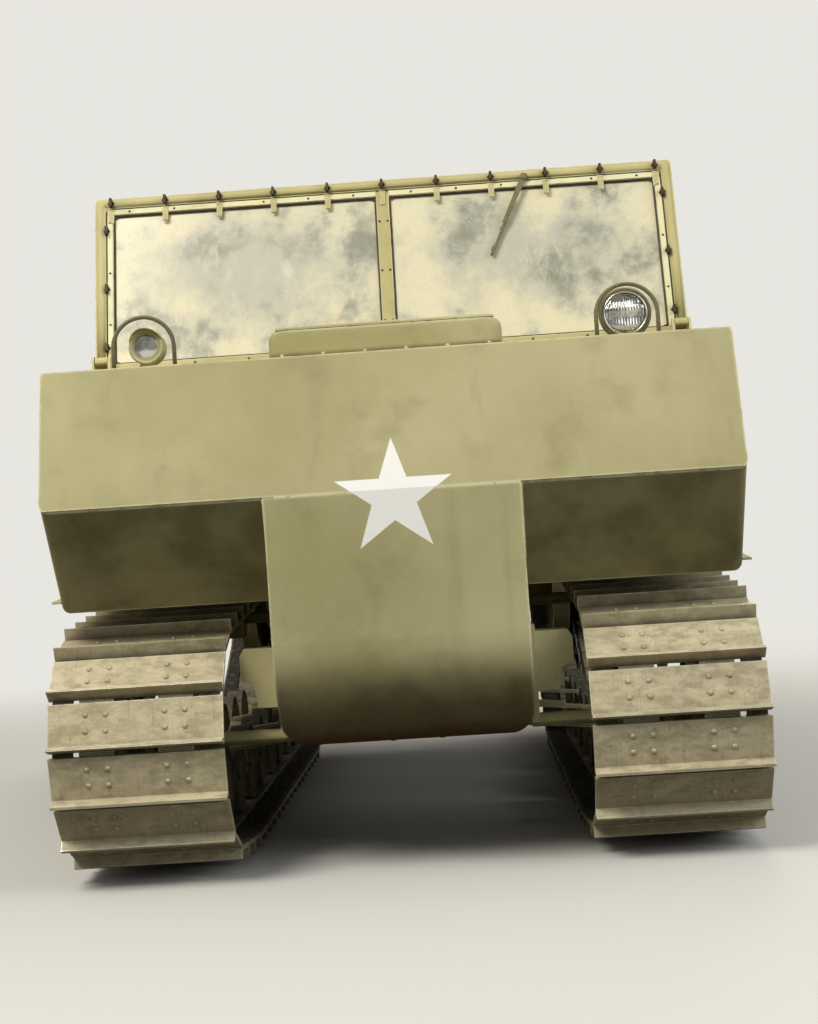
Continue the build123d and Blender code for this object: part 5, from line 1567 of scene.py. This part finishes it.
@dataclass
class HullFittings:
    """Rope hooks, rivets and bolts on the hull, and the fittings of its boxes and lids."""

    shop: PaintShop
    hooks_a_side: int = 8
    first_hook: float = -0.80
    hook_pitch: float = 0.285
    hook_drop: float = 0.062
    hook_wire: float = 0.0026
    stern_hooks: tuple = (-0.5, -0.25, 0.25, 0.5)
    deck_rivet: float = 0.009
    rail_rivet: float = 0.008
    louvre_rows: int = 9
    louvre_pitch: float = 0.058
    cover_rows: int = 6
    cover_pitch: float = 0.06
    grip_wire: float = 0.0045
    lid_bead: float = 0.0042
    strap_half: float = 0.016
    strap_thickness: float = 0.0024
    cap_notches: int = 16
    bead_step: float = 0.012
    bead_waver: float = 0.0007
    bead_seed: int = 7
    floor_ribs_count: int = 5
    wall_ribs: tuple = (0.365, 0.93, 1.13)
    wall_face: float = 0.7497
    lip_rivets: int = 21
    rail_bolts: int = 15
    grab_handles: tuple = (-1.06, 1.20)

    def hook(self, work: Work, foot: Vector, out: Vector, across: Vector) -> None:
        """Bends one rope hook on its plate.

        Args:
            work: What it is added to.
            foot: Middle of its plate.
            out: The way the hull faces there.
            across: The plate's width.
        """
        bends = [(0.014, 0.0), (0.014, 0.010), (0.009, 0.0145)]
        bends += [(-rise, reach) for rise, reach in reversed(bends)]
        work.rod([foot + UP * rise + out * reach for rise, reach in bends], self.hook_wire)
        work.slab(0.011, 0.024, 0.002, seat_on(foot, out, across), 0.94)

    def hooks(self) -> None:
        """Bends the tarpaulin's rope hooks along both sides and the stern."""
        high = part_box("rear_deck")[1]
        work = Work(self.shop)
        top = high.z - self.hook_drop
        for side in SIDES:
            out = RIGHT * side
            for index in range(self.hooks_a_side):
                foot = at(side * high.x, self.first_hook + index * self.hook_pitch, top)
                self.hook(work, foot, out, FORWARD)
                for rise in (-0.020, 0.020):
                    work.rivet(seat_on(foot + UP * rise + out * 0.002, out), 0.006)
        for across in self.stern_hooks:
            self.hook(work, at(across, high.y, top), -FORWARD, RIGHT)
        work.piece("rope_hooks", self.shop.hull)

    def deck_rivets(self) -> None:
        """Rivets the decks along their edges and the windshield's feet."""
        low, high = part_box("front_deck")
        rear_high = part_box("rear_deck")[1]
        rail_low, rail_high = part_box("cabin_rails")
        feet_low, feet_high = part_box("windshield_feet")
        work = Work(self.shop)
        for side, y in product(SIDES, spread(low.y + 0.05, low.y + 0.518, 7)):
            work.rivet(seat_on(at(side * (high.x - 0.018), y, high.z), UP), self.deck_rivet)
        for x in spread(-0.70, 0.70, 15):
            work.rivet(seat_on(at(x, rear_high.y - 0.018, rear_high.z), UP), self.deck_rivet)
        for side, y in product(SIDES, spread(rail_low.y + 0.08, rail_high.y - 0.08, 18)):
            spot = at(side * (rail_high.x - 0.012), y, rail_high.z)
            work.rivet(seat_on(spot, UP), self.rail_rivet)
        for side, x, y in product(SIDES, (0.016, 0.052), (0.010, 0.044)):
            spot = at(side * (feet_high.x - x), feet_low.y + y, feet_low.z + 0.004)
            work.bolt(seat_on(spot, UP), 0.009)
        work.piece("deck_rivets", self.shop.hull)

    def louvres(self) -> None:
        """Presses two rows of louvres into the engine's lid and adds its handle."""
        low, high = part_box("engine_lid")
        work = Work(self.shop)
        for column, row in product((0.28, 0.72), range(self.louvre_rows)):
            x = low.x + 0.04 + (high.x - low.x - 0.08) * column
            middle = at(x, low.y + 0.11 + row * self.louvre_pitch, high.z)
            rings = []
            for turn in spread(0, math.pi, 9):
                across = -0.062 * math.cos(turn)
                rise = 0.0095 * math.sin(turn) ** 0.6 + 0.0002
                section = ((-0.011, 0.0), (-0.009, rise), (-0.002, rise * 0.92), (0.016, 0.0))
                rings.append([middle + at(across, y, z) for y, z in section])
            work.rings(rings, False)
        grip = at(high.x - 0.035, (low.y + high.y) / 2, high.z)
        bends = [(-0.055, 0), (-0.055, 0.022), (-0.045, 0.032), (0.045, 0.032), (0.055, 0.022), (0.055, 0)]
        work.rod([grip + at(0, y, z) for y, z in bends], self.grip_wire)
        for y, x in product(spread(low.y + 0.03, high.y - 0.03, 6), (low.x + 0.022, high.x - 0.012)):
            work.rivet(seat_on(at(x, y, high.z), UP), 0.007)
        work.piece("engine_lid_louvres", self.shop.lids, body=Body.ENGINE_LID)

    def box_lids(self) -> None:
        """Gives both box lids a folded handle and a stiffening bead."""
        for node, body in (("tool_box_lid", Body.TOOL_LID), ("battery_box_lid", Body.BATTERY_LID)):
            low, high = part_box(node)
            side = 1 if low.x > 0 else -1
            inner = min(abs(low.x), abs(high.x))
            middle_y, top = (low.y + high.y) / 2, low.z + 0.006
            reach, near, far = (high.y - low.y) / 2 - 0.035, inner + 0.04, inner + 0.33
            work = Work(self.shop)
            pairs = ((near, -reach), (far, -reach), (far, reach), (near, reach))
            corners = [Vector(pair) for pair in pairs]
            route = []
            for here, there in loop_pairs(corners):
                for share in (0.04, 0.5, 0.96):
                    x, y = here.lerp(there, share)
                    route.append(at(side * x, middle_y + y, top - 0.001))
            work.rod(route, self.lid_bead, 8, True)
            grip = at(side * (inner + 0.022), middle_y, top)
            bends = [(-0.04, 0), (-0.037, 0.014), (0.037, 0.014), (0.04, 0)]
            work.rod([grip + at(0, y, z) for y, z in bends], 0.0032)
            work.piece(f"{node}_handle", self.shop.lids, body=body)

    def tank(self) -> None:
        """Straps the fuel tank down and dresses its filler cap."""
        low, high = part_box("fuel_tank")
        top = high.z - 0.030
        work, cap = Work(self.shop), Work(self.shop)
        half, thin = (high.x - low.x) / 2 - 0.002, self.strap_thickness
        for share in (0.22, 0.72):
            y = low.y + (high.y - low.y) * share
            work.slab(half, self.strap_half, thin, seat_on(at((low.x + high.x) / 2, y, top), UP))
            drop = seat_on(at(high.x, y, top - 0.11), RIGHT, FORWARD)
            work.plate(oblong(self.strap_half, -0.11, 0.112), thin, drop)
            work.bolt(seat_on(at(high.x - 0.032, y, top + thin), UP), 0.012)
        middle = at((low.x + high.x) / 2, high.y - 0.120, high.z - 0.001)
        profile = [(0.041, -0.016), (0.041, 0.002), (0.038, 0.0065), (0.012, 0.009), (0.004, 0.0095)]
        cap.turned(profile, seat_on(middle, UP), 32)
        for turn in turns(self.cap_notches):
            out = at(math.cos(turn), math.sin(turn), 0)
            place = seat_on(middle + out * 0.0405, out, UP.cross(out))
            cap.plate(oblong(0.003, -0.014, 0.001), 0.0025, place)
        cap.slab(0.030, 0.004, 0.014, seat_on(middle + UP * 0.007, UP, at(0.8, 0.6, 0)), 0.9)
        work.piece("tank_straps", self.shop.chassis, Slot.CHASSIS)
        cap.piece("tank_cap", self.shop.iron, Slot.CHASSIS)

    def bead(self, work: Work, start: Vector, end: Vector, radius: float = 0.003) -> None:
        """Lays an uneven weld along a joint.

        Args:
            work: What it is added to.
            start: Where it starts.
            end: Where it ends.
            radius: How thick it is.
        """
        count = max(6, round((end - start).length / self.bead_step))
        route = [start.lerp(end, share) for share in spread(0, 1, count + 1)]
        work.rod([spot + noise.noise_vector(spot * 90) * self.bead_waver for spot in route], radius, 6)

    def seams(self) -> None:
        """Welds the bow to the cheeks, and the tub and the sides to the stern."""
        noise.seed_set(self.bead_seed)
        plate_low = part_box("front_plate")[0]
        tub_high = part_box("lower_hull")[1]
        cheek_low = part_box("sponson_left")[0]
        stern_low, stern_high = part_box("rear_plate")
        work = Work(self.shop)
        for side in SIDES:
            x, edge = side * tub_high.x, side * (stern_high.x - 0.001)
            foot = at(x, plate_low.y + 0.0435, cheek_low.z + 0.06)
            self.bead(work, foot, at(x, plate_low.y + 0.0035, plate_low.z))
            back, far = stern_low.y - 0.001, stern_low.y + 0.001
            self.bead(work, at(x, back, cheek_low.z + 0.12), at(x, back, stern_low.z))
            foot, top = at(edge, far, stern_low.z + 0.03), at(edge, far, stern_high.z - 0.01)
            self.bead(work, foot, top, 0.0022)
        work.piece("weld_seams", self.shop.hull)

    def side_rivets(self) -> None:
        """Rivets the lips, bolts the sides to the cabin rails and adds grab handles."""
        low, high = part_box("side_lips")
        slope = (high.z - low.z - 0.006) / (high.y - low.y)
        side_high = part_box("sponson_left")[1]
        work = Work(self.shop)
        bends = [(-0.060, 0.0), (-0.060, 0.010), (-0.052, 0.0145)]
        bends += [(-along, reach) for along, reach in reversed(bends)]
        for side in SIDES:
            x, out = side * side_high.x, RIGHT * side
            for y in spread(low.y + 0.05, high.y - 0.05, self.lip_rivets):
                work.rivet(seat_on(at(x, y, low.z + (y - low.y) * slope + 0.024), out), 0.010)
            for y in spread(-1.33, 1.33, self.rail_bolts):
                work.bolt(seat_on(at(x, y, side_high.z - 0.022), out), 0.011)
            for y in self.grab_handles:
                grip = at(x, y, side_high.z - 0.16)
                route = [grip + FORWARD * along + out * reach for along, reach in bends]
                work.rod(route, self.grip_wire, 10)
        work.piece("side_fasteners", self.shop.hull)

    def floor_ribs(self) -> None:
        """Presses long ribs into the tub's floor and stands hat ribs on the cabin's walls."""
        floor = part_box("lower_hull")[0].z + 0.005
        cover_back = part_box("engine_cover")[1].y
        rail_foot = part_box("cabin_rails")[0].z
        work = Work(self.shop)
        rib = [(-0.012, 0.0), (0.012, 0.0), (0.006, 0.008), (-0.006, 0.008)][::-1]
        for x in spread(-0.16, 0.16, self.floor_ribs_count):
            ends = [at(x, cover_back + 0.09, floor), at(x, 1.16, floor)]
            work.rings([[end + at(across, 0, rise) for across, rise in rib] for end in ends], False)
        hat = ((0, -0.026), (0, 0.026), (0.012, 0.016), (0.012, -0.016))
        for side, y in product(SIDES, self.wall_ribs):
            ends = [at(side * self.wall_face, y, z) for z in (0.84, rail_foot - 0.002)]
            section = [at(-side * out, along, 0) for out, along in hat[::-side]]
            work.rings([[end + corner for corner in section] for end in ends], False)
        work.piece("cabin_ribs", self.shop.inside)

    def cover_sides(self) -> None:
        """Presses louvres into the engine cover's sides and hangs its latches."""
        low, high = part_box("engine_cover")
        work = Work(self.shop)
        latch = [(-0.009, -0.012, 0.004), (-0.009, 0.016, 0.006)]
        latch += [(-x, y, z) for x, y, z in reversed(latch)]
        for side, x in ((1, high.x), (-1, low.x)):
            out = RIGHT * side
            for row in range(self.cover_rows):
                middle = at(x, (low.y + high.y) / 2 - 0.15 + row * self.cover_pitch, high.z - 0.13)
                rings = []
                for turn in spread(0, math.pi, 7):
                    proud = 0.008 * math.sin(turn) ** 0.6 + 0.0002
                    profile = ((-0.010, 0.0), (-0.008, proud), (0.0, proud * 0.9), (0.014, 0.0))[::side]
                    level = middle + UP * -0.045 * math.cos(turn)
                    rings.append([level + at(0, along, 0) + out * reach for along, reach in profile])
                work.rings(rings, False)
            for y in (low.y + 0.12, high.y - 0.12):
                seat = seat_on(at(x, y, high.z - 0.045), out, FORWARD)
                work.plate(oblong(0.014, -0.022, 0.018), 0.003, seat, 0.92)
                work.rod([seat @ Vector(bend) for bend in latch], 0.002)
        work.piece("cover_louvres", self.shop.inside)

    def stern(self) -> None:
        """Bolts the pintle and the tow eyes to the transom."""
        work = Work(self.shop)
        low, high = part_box("tow_pintle")
        eye_low, eye_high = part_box("tow_eyes")
        for x, z in product((-0.045, 0.045), (low.z + 0.015, high.z - 0.015)):
            work.bolt(seat_on(at(x, low.y + 0.017, z), -FORWARD), 0.015)
        inner, outer = eye_high.x - 0.054, eye_high.x - 0.010
        for side, x, z in product(SIDES, (outer, inner), (eye_low.z + 0.010, eye_high.z - 0.010)):
            work.bolt(seat_on(at(side * x, eye_low.y + 0.013, z), -FORWARD), 0.010)
        work.piece("stern_bolts", self.shop.fasteners, Slot.CHASSIS)

    def build(self) -> None:
        """Makes all fittings."""
        for job in (
            self.hooks, self.deck_rivets, self.louvres, self.box_lids, self.tank, self.seams,
            self.side_rivets, self.floor_ribs, self.cover_sides, self.stern,
        ):
            job()


@dataclass
class Cockpit:
    """Instruments and lever grips at the driver's place."""

    shop: PaintShop
    gauge_radius: float = 0.042
    small_radius: float = 0.022
    ticks: int = 11
    grip_rings: int = 9
    ring_pitch: float = 0.0095

    def dials(self) -> None:
        """Rings each instrument, blackens its face, and adds its marks and hand."""
        low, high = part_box("dash_panel")
        middle = at((low.x + high.x) / 2, high.y, (low.z + high.z) / 2)
        wide, tall = high.x - low.x, high.z - low.z
        gauges = [(share * wide, 0.0, self.gauge_radius) for share in (-0.19, 0.06)]
        for across, rise in product(SIDES, SIDES):
            gauges.append((0.33 * wide + across * 0.0625 * wide, rise * tall / 5.2, self.small_radius))
        rings, faces, marks = (Work(self.shop) for _ in range(3))
        bezel = [(1.06, -0.003), (1.06, 0.002), (0.96, 0.0045), (0.88, 0.0015)]
        face = [(0.9, 0.0004), (0.88, 0.0016), (0.05, 0.0017)]
        for index, (across, rise, radius) in enumerate(gauges):
            place = seat_on(middle + at(across, 0, rise), -FORWARD, -RIGHT)
            rings.turned([(radius * reach, height) for reach, height in bezel], place, 36)
            faces.turned([(radius * reach, height) for reach, height in face], place, 32)
            for tick in range(self.ticks):
                angle = Matrix.Rotation(math.radians(225 - 27 * tick), 4, "Z")
                spot = place @ angle @ Matrix.Translation((radius * 0.73, 0, 0.0016))
                marks.slab(radius * 0.08, 0.0006, 0.0003, spot)
            angle = Matrix.Rotation(math.radians(215 - 37 * index), 4, "Z")
            tail, tip = -radius * 0.15, radius * 0.62
            hand = [(tail, -0.0012), (tip, -0.0004), (tip, 0.0004), (tail, 0.0012)]
            marks.plate(hand, 0.0012, place @ angle @ Matrix.Translation((0, 0, 0.0017)))
        for across, rise in product((-0.44, -0.065, 0.2, 0.46), (-0.36, 0.36)):
            rings.rivet(seat_on(middle + at(across * wide, 0, rise * tall), -FORWARD), 0.006)
        rings.piece("dial_rings", self.shop.trim, Slot.TRIM)
        faces.piece("dial_faces", self.shop.dial, Slot.TRIM)
        marks.piece("dial_marks", self.shop.ivory, Slot.TRIM)

    def grips(self) -> None:
        """Sleeves the steering levers in ribbed rubber."""
        low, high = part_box("control_levers")
        profile = [(0.0146, 0.0)]
        for ring in range(self.grip_rings):
            rise = ring * self.ring_pitch
            profile += [(0.0160, 0.004 + rise), (0.0150, 0.009 + rise)]
        profile += [(0.0150, 0.089), (0.011, 0.0915), (0.003, 0.092)]
        work = Work(self.shop)
        for x in (low.x + 0.035, high.x - 0.035):
            work.turned(profile, Matrix.Translation((x, high.y - 0.045, high.z - 0.0905)), 22)
        work.piece("lever_grips", self.shop.trim, Slot.TRIM)

    def build(self) -> None:
        """Makes the driver's small parts."""
        self.dials()
        self.grips()


@dataclass
class Cushion:
    """One canvas cushion: a block blown up by cloth simulation, with channels and welts sewn in."""

    shop: PaintShop
    name: str
    low: Vector
    high: Vector
    margin: float = 0.010
    cap: float = 0.0095
    voxel: float = 0.009
    corner: float = 0.022
    channel: float = 0.34
    channel_depth: float = 0.0045
    channel_width: float = 0.007
    pull: float = 0.005
    pressure: float = 4.0
    frames: int = 20
    welt_radius: float = 0.0036
    welt_steps: int = 120
    stitch_pitch: float = 0.012
    stitch_half: float = 0.0032

    def __post_init__(self) -> None:
        """Works out the middle, half the size, and which way the cushion is thin and long."""
        self.middle, self.half = (self.low + self.high) / 2, (self.high - self.low) / 2
        self.thin = min(range(3), key=lambda axis: self.half[axis])
        self.wide, self.long = (axis for axis in range(3) if axis != self.thin)

    def held(self, place: Vector, gap: float) -> Vector:
        """Moves a point that is outside the cushion's own box inside it, by a gap."""
        return Vector(min(max(place[k], self.low[k] + gap), self.high[k] - gap) for k in range(3))

    def block(self) -> bpy.types.Object:
        """Makes the cushion's plain start, smaller by the margin.

        Returns:
            The object, remeshed evenly.
        """
        half = self.half - Vector((self.margin,) * 3)
        work = Work(self.shop)
        work.slab(half.x, half.y, 2 * half.z, Matrix.Translation(self.middle - UP * half.z))
        made = work.piece(self.name, self.shop.canvas, Slot.CANVAS)
        round_edges = made.modifiers.new("round", "BEVEL")
        round_edges.width, round_edges.segments = self.corner, 4
        even = made.modifiers.new("even", "REMESH")
        even.mode, even.voxel_size, even.use_smooth_shade = "VOXEL", self.voxel, True
        self.settle(made)
        return made

    @staticmethod
    def settle(made: bpy.types.Object) -> None:
        """Turns what the modifiers show into the object's own mesh.

        Args:
            made: The object.
        """
        shown = made.evaluated_get(bpy.context.evaluated_depsgraph_get())
        mesh = bpy.data.meshes.new_from_object(shown)
        made.modifiers.clear()
        made.data = mesh
        mesh.polygons.foreach_set("use_smooth", [True] * len(mesh.polygons))

    def blow_up(self, made: bpy.types.Object) -> None:
        """Swells the cushion with cloth under pressure, no further than its cap.

        Args:
            made: The cushion.
        """
        start = [vertex.co.copy() for vertex in made.data.vertices]
        cloth = made.modifiers.new("cloth", "CLOTH")
        cloth.settings.use_pressure = True
        cloth.settings.uniform_pressure_force = self.pressure
        cloth.settings.effector_weights.gravity = 0.0
        cloth.settings.quality = 4
        cloth.point_cache.frame_end = self.frames
        for step in range(1, self.frames + 1):
            bpy.context.scene.frame_set(step)
        self.settle(made)
        bpy.context.scene.frame_set(1)
        for vertex, origin in zip(made.data.vertices, start):
            move = vertex.co - origin
            if move.length > self.cap:
                move = move.normalized() * self.cap
            vertex.co = self.held(origin + move + self.creases(origin), 0.0004)

    def creases(self, origin: Vector) -> Vector:
        """Pulls the sides and the sewn channels in, and puckers the cloth.

        Args:
            origin: A point of the block.

        Returns:
            How far the point moves.
        """
        share = Vector((origin[axis] - self.middle[axis]) / self.half[axis] for axis in range(3))
        waves = noise.noise(origin * 22) * 0.0030 + noise.noise(origin * 60) * 0.0012
        inward = at(-share.x * (1 - share.y**2), -share.y * (1 - share.x**2), 0) * self.pull
        nearest = abs(abs(origin.x - self.middle.x) - self.half.x * self.channel)
        sewn = self.channel_depth * math.exp(-((nearest / self.channel_width) ** 2))
        inward[self.thin] -= share[self.thin] * sewn
        return inward + share.normalized() * waves

    def welts(self, made: bpy.types.Object) -> None:
        """Sews a round welt along the edges of both faces, and stitches the channels.

        Args:
            made: The cushion that they lie on.
        """
        tree = BVHTree.FromPolygons(
            [vertex.co for vertex in made.data.vertices], [face.vertices[:] for face in made.data.polygons]
        )
        work = Work(self.shop)
        for side in SIDES:
            route = []
            for turn in turns(self.welt_steps):
                share = (math.cos(turn), math.sin(turn))
                stretch = 1 / max(abs(share[0]), abs(share[1])) ** 0.86
                spot = self.middle.copy()
                for axis, part in zip((self.wide, self.long), share):
                    spot[axis] += self.half[axis] * part * stretch
                spot[self.thin] += side * self.half[self.thin]
                near, normal, _, _ = tree.find_nearest(spot)
                route.append(near + normal * 0.0006)
            work.rod(route, self.welt_radius, 8, True)
        stitches = round(2 * self.half[self.long] / self.stitch_pitch) - 4
        for side, face, step in product(SIDES, SIDES, range(stitches)):
            ends = []
            for reach in (-self.stitch_half, self.stitch_half):
                end = self.middle.copy()
                end.x += side * self.channel * self.half.x
                end[self.thin] += face * self.half[self.thin]
                end[self.long] += (step + 2) * self.stitch_pitch - self.half[self.long] + reach
                near, normal, _, _ = tree.find_nearest(end)
                ends.append(near + normal * 0.0008)
            work.rod(ends, 0.0009, 5)
        sewn = work.piece(f"{self.name}_welts", self.shop.canvas, Slot.CANVAS)
        for vertex in sewn.data.vertices:
            vertex.co = self.held(vertex.co, 0.0002)

    def build(self, node: str) -> None:
        """Makes the cushion and its welts.

        Args:
            node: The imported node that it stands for.
        """
        made = self.block()
        self.blow_up(made)
        self.welts(made)
        soften = made.modifiers.new("soften", "SUBSURF")
        soften.levels = soften.render_levels = 1
        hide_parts(node)


@dataclass
class Seats:
    """The driver's two cushions and the bench's six."""

    shop: PaintShop

    @staticmethod
    def blocks(node: str) -> list[tuple[Vector, Vector]]:
        """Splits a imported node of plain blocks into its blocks.

        Args:
            node: The node.

        Returns:
            Lowest and highest corner of each block.
        """
        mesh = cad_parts[node].data
        blocks: list[set] = []
        for polygon in mesh.polygons:
            corners = {tuple(mesh.vertices[index].co) for index in polygon.vertices}
            apart = [block for block in blocks if not block & corners]
            blocks = [*apart, corners.union(*(block for block in blocks if block & corners))]
        found = [
            tuple(Vector(pick(axis) for axis in zip(*block)) for pick in (min, max)) for block in blocks
        ]
        return sorted(found, key=lambda pair: (round(pair[0].z, 2), pair[0].x))

    def build(self) -> None:
        """Makes every cushion."""
        for node in ("driver_seat_pads", "bench_pads"):
            for number, (low, high) in enumerate(self.blocks(node), 1):
                Cushion(self.shop, f"{node}_{number}", low, high).build(node)


@dataclass(frozen=True)
class SoftLamp:
    """One soft square lamp."""

    name: str
    place: Colour
    aim: Colour
    size: float
    watts: float
    tint: Colour

    def hang(self) -> None:
        """Hangs the lamp and points it."""
        light = bpy.data.lights.new(self.name, "AREA")
        light.shape, light.size, light.energy, light.color = "SQUARE", self.size, self.watts, self.tint
        made = bpy.data.objects.new(self.name, light)
        made.location = self.place
        made.rotation_euler = (Vector(self.aim) - Vector(self.place)).to_track_quat("-Z", "Y").to_euler()
        bpy.context.scene.collection.objects.link(made)


@dataclass
class Studio:
    """Pale floor, soft lamps and the camera."""

    eye: Vector = field(default_factory=lambda: at(0.137, -5.252, 0.718))
    target: Vector = field(default_factory=lambda: at(0.023, -1.2, 0.792))
    roll: float = math.radians(-3.74)
    focal_pixels: float = 1725.0
    frame_pixels: float = 1024.0
    sensor: float = 36.0
    floor_size: float = 80.0
    fade_from: float = 2.0
    fade_to: float = 6.0
    backdrop: tuple = linear(232, 230, 224)
    pale: tuple = linear(224, 222, 216)
    bounce: tuple = linear(112, 110, 102)
    daylight: tuple = linear(226, 226, 224)
    horizon: float = 0.215
    zenith: float = 0.58
    lamps: tuple = (
        SoftLamp("key_lamp", (-2.6, -4.6, 5.2), (0, -0.9, 0.9), 2.6, 262, (1.0, 0.95, 0.86)),
        SoftLamp("fill_lamp", (4.2, -3.6, 3.0), (0, -0.6, 0.8), 3.2, 104, (0.92, 0.96, 1.0)),
        SoftLamp("back_lamp", (1.5, 5.4, 4.6), (0, 0.6, 0.9), 3.0, 150, (1.0, 0.95, 0.86)),
    )

    @staticmethod
    def rays(g: Graph) -> list[Level]:
        """One or nought for whether the camera, a reflection and glass look at a surface."""
        outputs = g.node("ShaderNodeLightPath").outputs
        return [Level(g, outputs[f"Is {kind} Ray"]) for kind in ("Camera", "Glossy", "Transmission")]

    @staticmethod
    def blend(g: Graph, share: Level, first: bpy.types.Node, second: bpy.types.Node, end: str) -> None:
        """Ends a graph in two shaders, mixed by the share of the second, in an output of that type."""
        both = g.node("ShaderNodeMixShader", None, {0: share, 1: first.outputs[0], 2: second.outputs[0]})
        g.node(end, None, {"Surface": both.outputs[0]})

    def floor(self) -> None:
        """Lays a pale floor that fades into the background."""
        bpy.ops.mesh.primitive_grid_add(
            x_subdivisions=8, y_subdivisions=8, size=self.floor_size, location=(0, 0, 0)
        )
        floor = bpy.context.object
        floor.name = "studio_floor"
        g = Graph("studio_floor_pale")
        camera, glossy, glass = self.rays(g)
        matt = g.node("ShaderNodeBsdfDiffuse", None, {"Color": g.mix(camera, self.bounce, self.pale)})
        glow = g.node("ShaderNodeEmission", None, {"Color": self.backdrop, "Strength": 1.0})
        far = (g.x * g.x + g.y * g.y).root().rise(self.fade_from, self.fade_to)
        self.blend(g, far * camera.most(glossy).most(glass), matt, glow, "ShaderNodeOutputMaterial")
        floor.data.materials.append(g.owner)

    def world(self) -> None:
        """Sets an even pale world that looks brighter than it lights."""
        g = Graph("studio_world", world=True)
        camera, _, glass = self.rays(g)
        sky = {0: g.node("ShaderNodeTexCoord").outputs["Generated"]}
        climb = {0: g.level("ShaderNodeSeparateXYZ", None, sky, "Z"), 1: -0.1, 2: 0.9}
        strength = g.level("ShaderNodeMapRange", None, {**climb, 3: self.horizon, 4: self.zenith})
        lit = g.node("ShaderNodeBackground", None, {"Color": self.daylight, "Strength": strength})
        seen = g.node("ShaderNodeBackground", None, {"Color": self.backdrop, "Strength": 1.0})
        self.blend(g, camera.most(glass), lit, seen, "ShaderNodeOutputWorld")
        bpy.context.scene.world = g.owner

    def camera(self) -> None:
        """Stands the camera where the photographer stood and keeps the photograph's tilt."""
        data = bpy.data.cameras.new("camera")
        data.sensor_width = self.sensor
        data.lens = self.focal_pixels * self.sensor / self.frame_pixels
        forward = (self.target - self.eye).normalized()
        level_right = forward.cross(UP).normalized()
        level_up = level_right.cross(forward)
        right = level_right * math.cos(self.roll) + level_up * math.sin(self.roll)
        up = level_up * math.cos(self.roll) - level_right * math.sin(self.roll)
        made = bpy.data.objects.new("camera", data)
        axes = Matrix((right, up, -forward)).transposed().to_4x4()
        made.matrix_world = Matrix.Translation(self.eye) @ axes
        bpy.context.scene.collection.objects.link(made)
        bpy.context.scene.camera = made

    def build(self) -> None:
        """Sets the whole studio."""
        bpy.context.scene.view_settings.view_transform = "Standard"
        self.floor()
        self.world()
        for lamp in self.lamps:
            lamp.hang()
        self.camera()


def main() -> None:
    """Dresses the carrier, adds its small parts and sets the studio."""
    logging.basicConfig(level=logging.INFO, format="%(name)s: %(message)s")
    shop = PaintShop()
    shop.dress()
    for kind in (RunningGear, Windshield, Lamps, Ventilator, HullFittings, Cockpit, Seats):
        kind(shop).build()
        log.info("%s done", kind.__name__)
    Studio().build()
    log.info("Studio done")


if __name__ == "__main__":
    main()
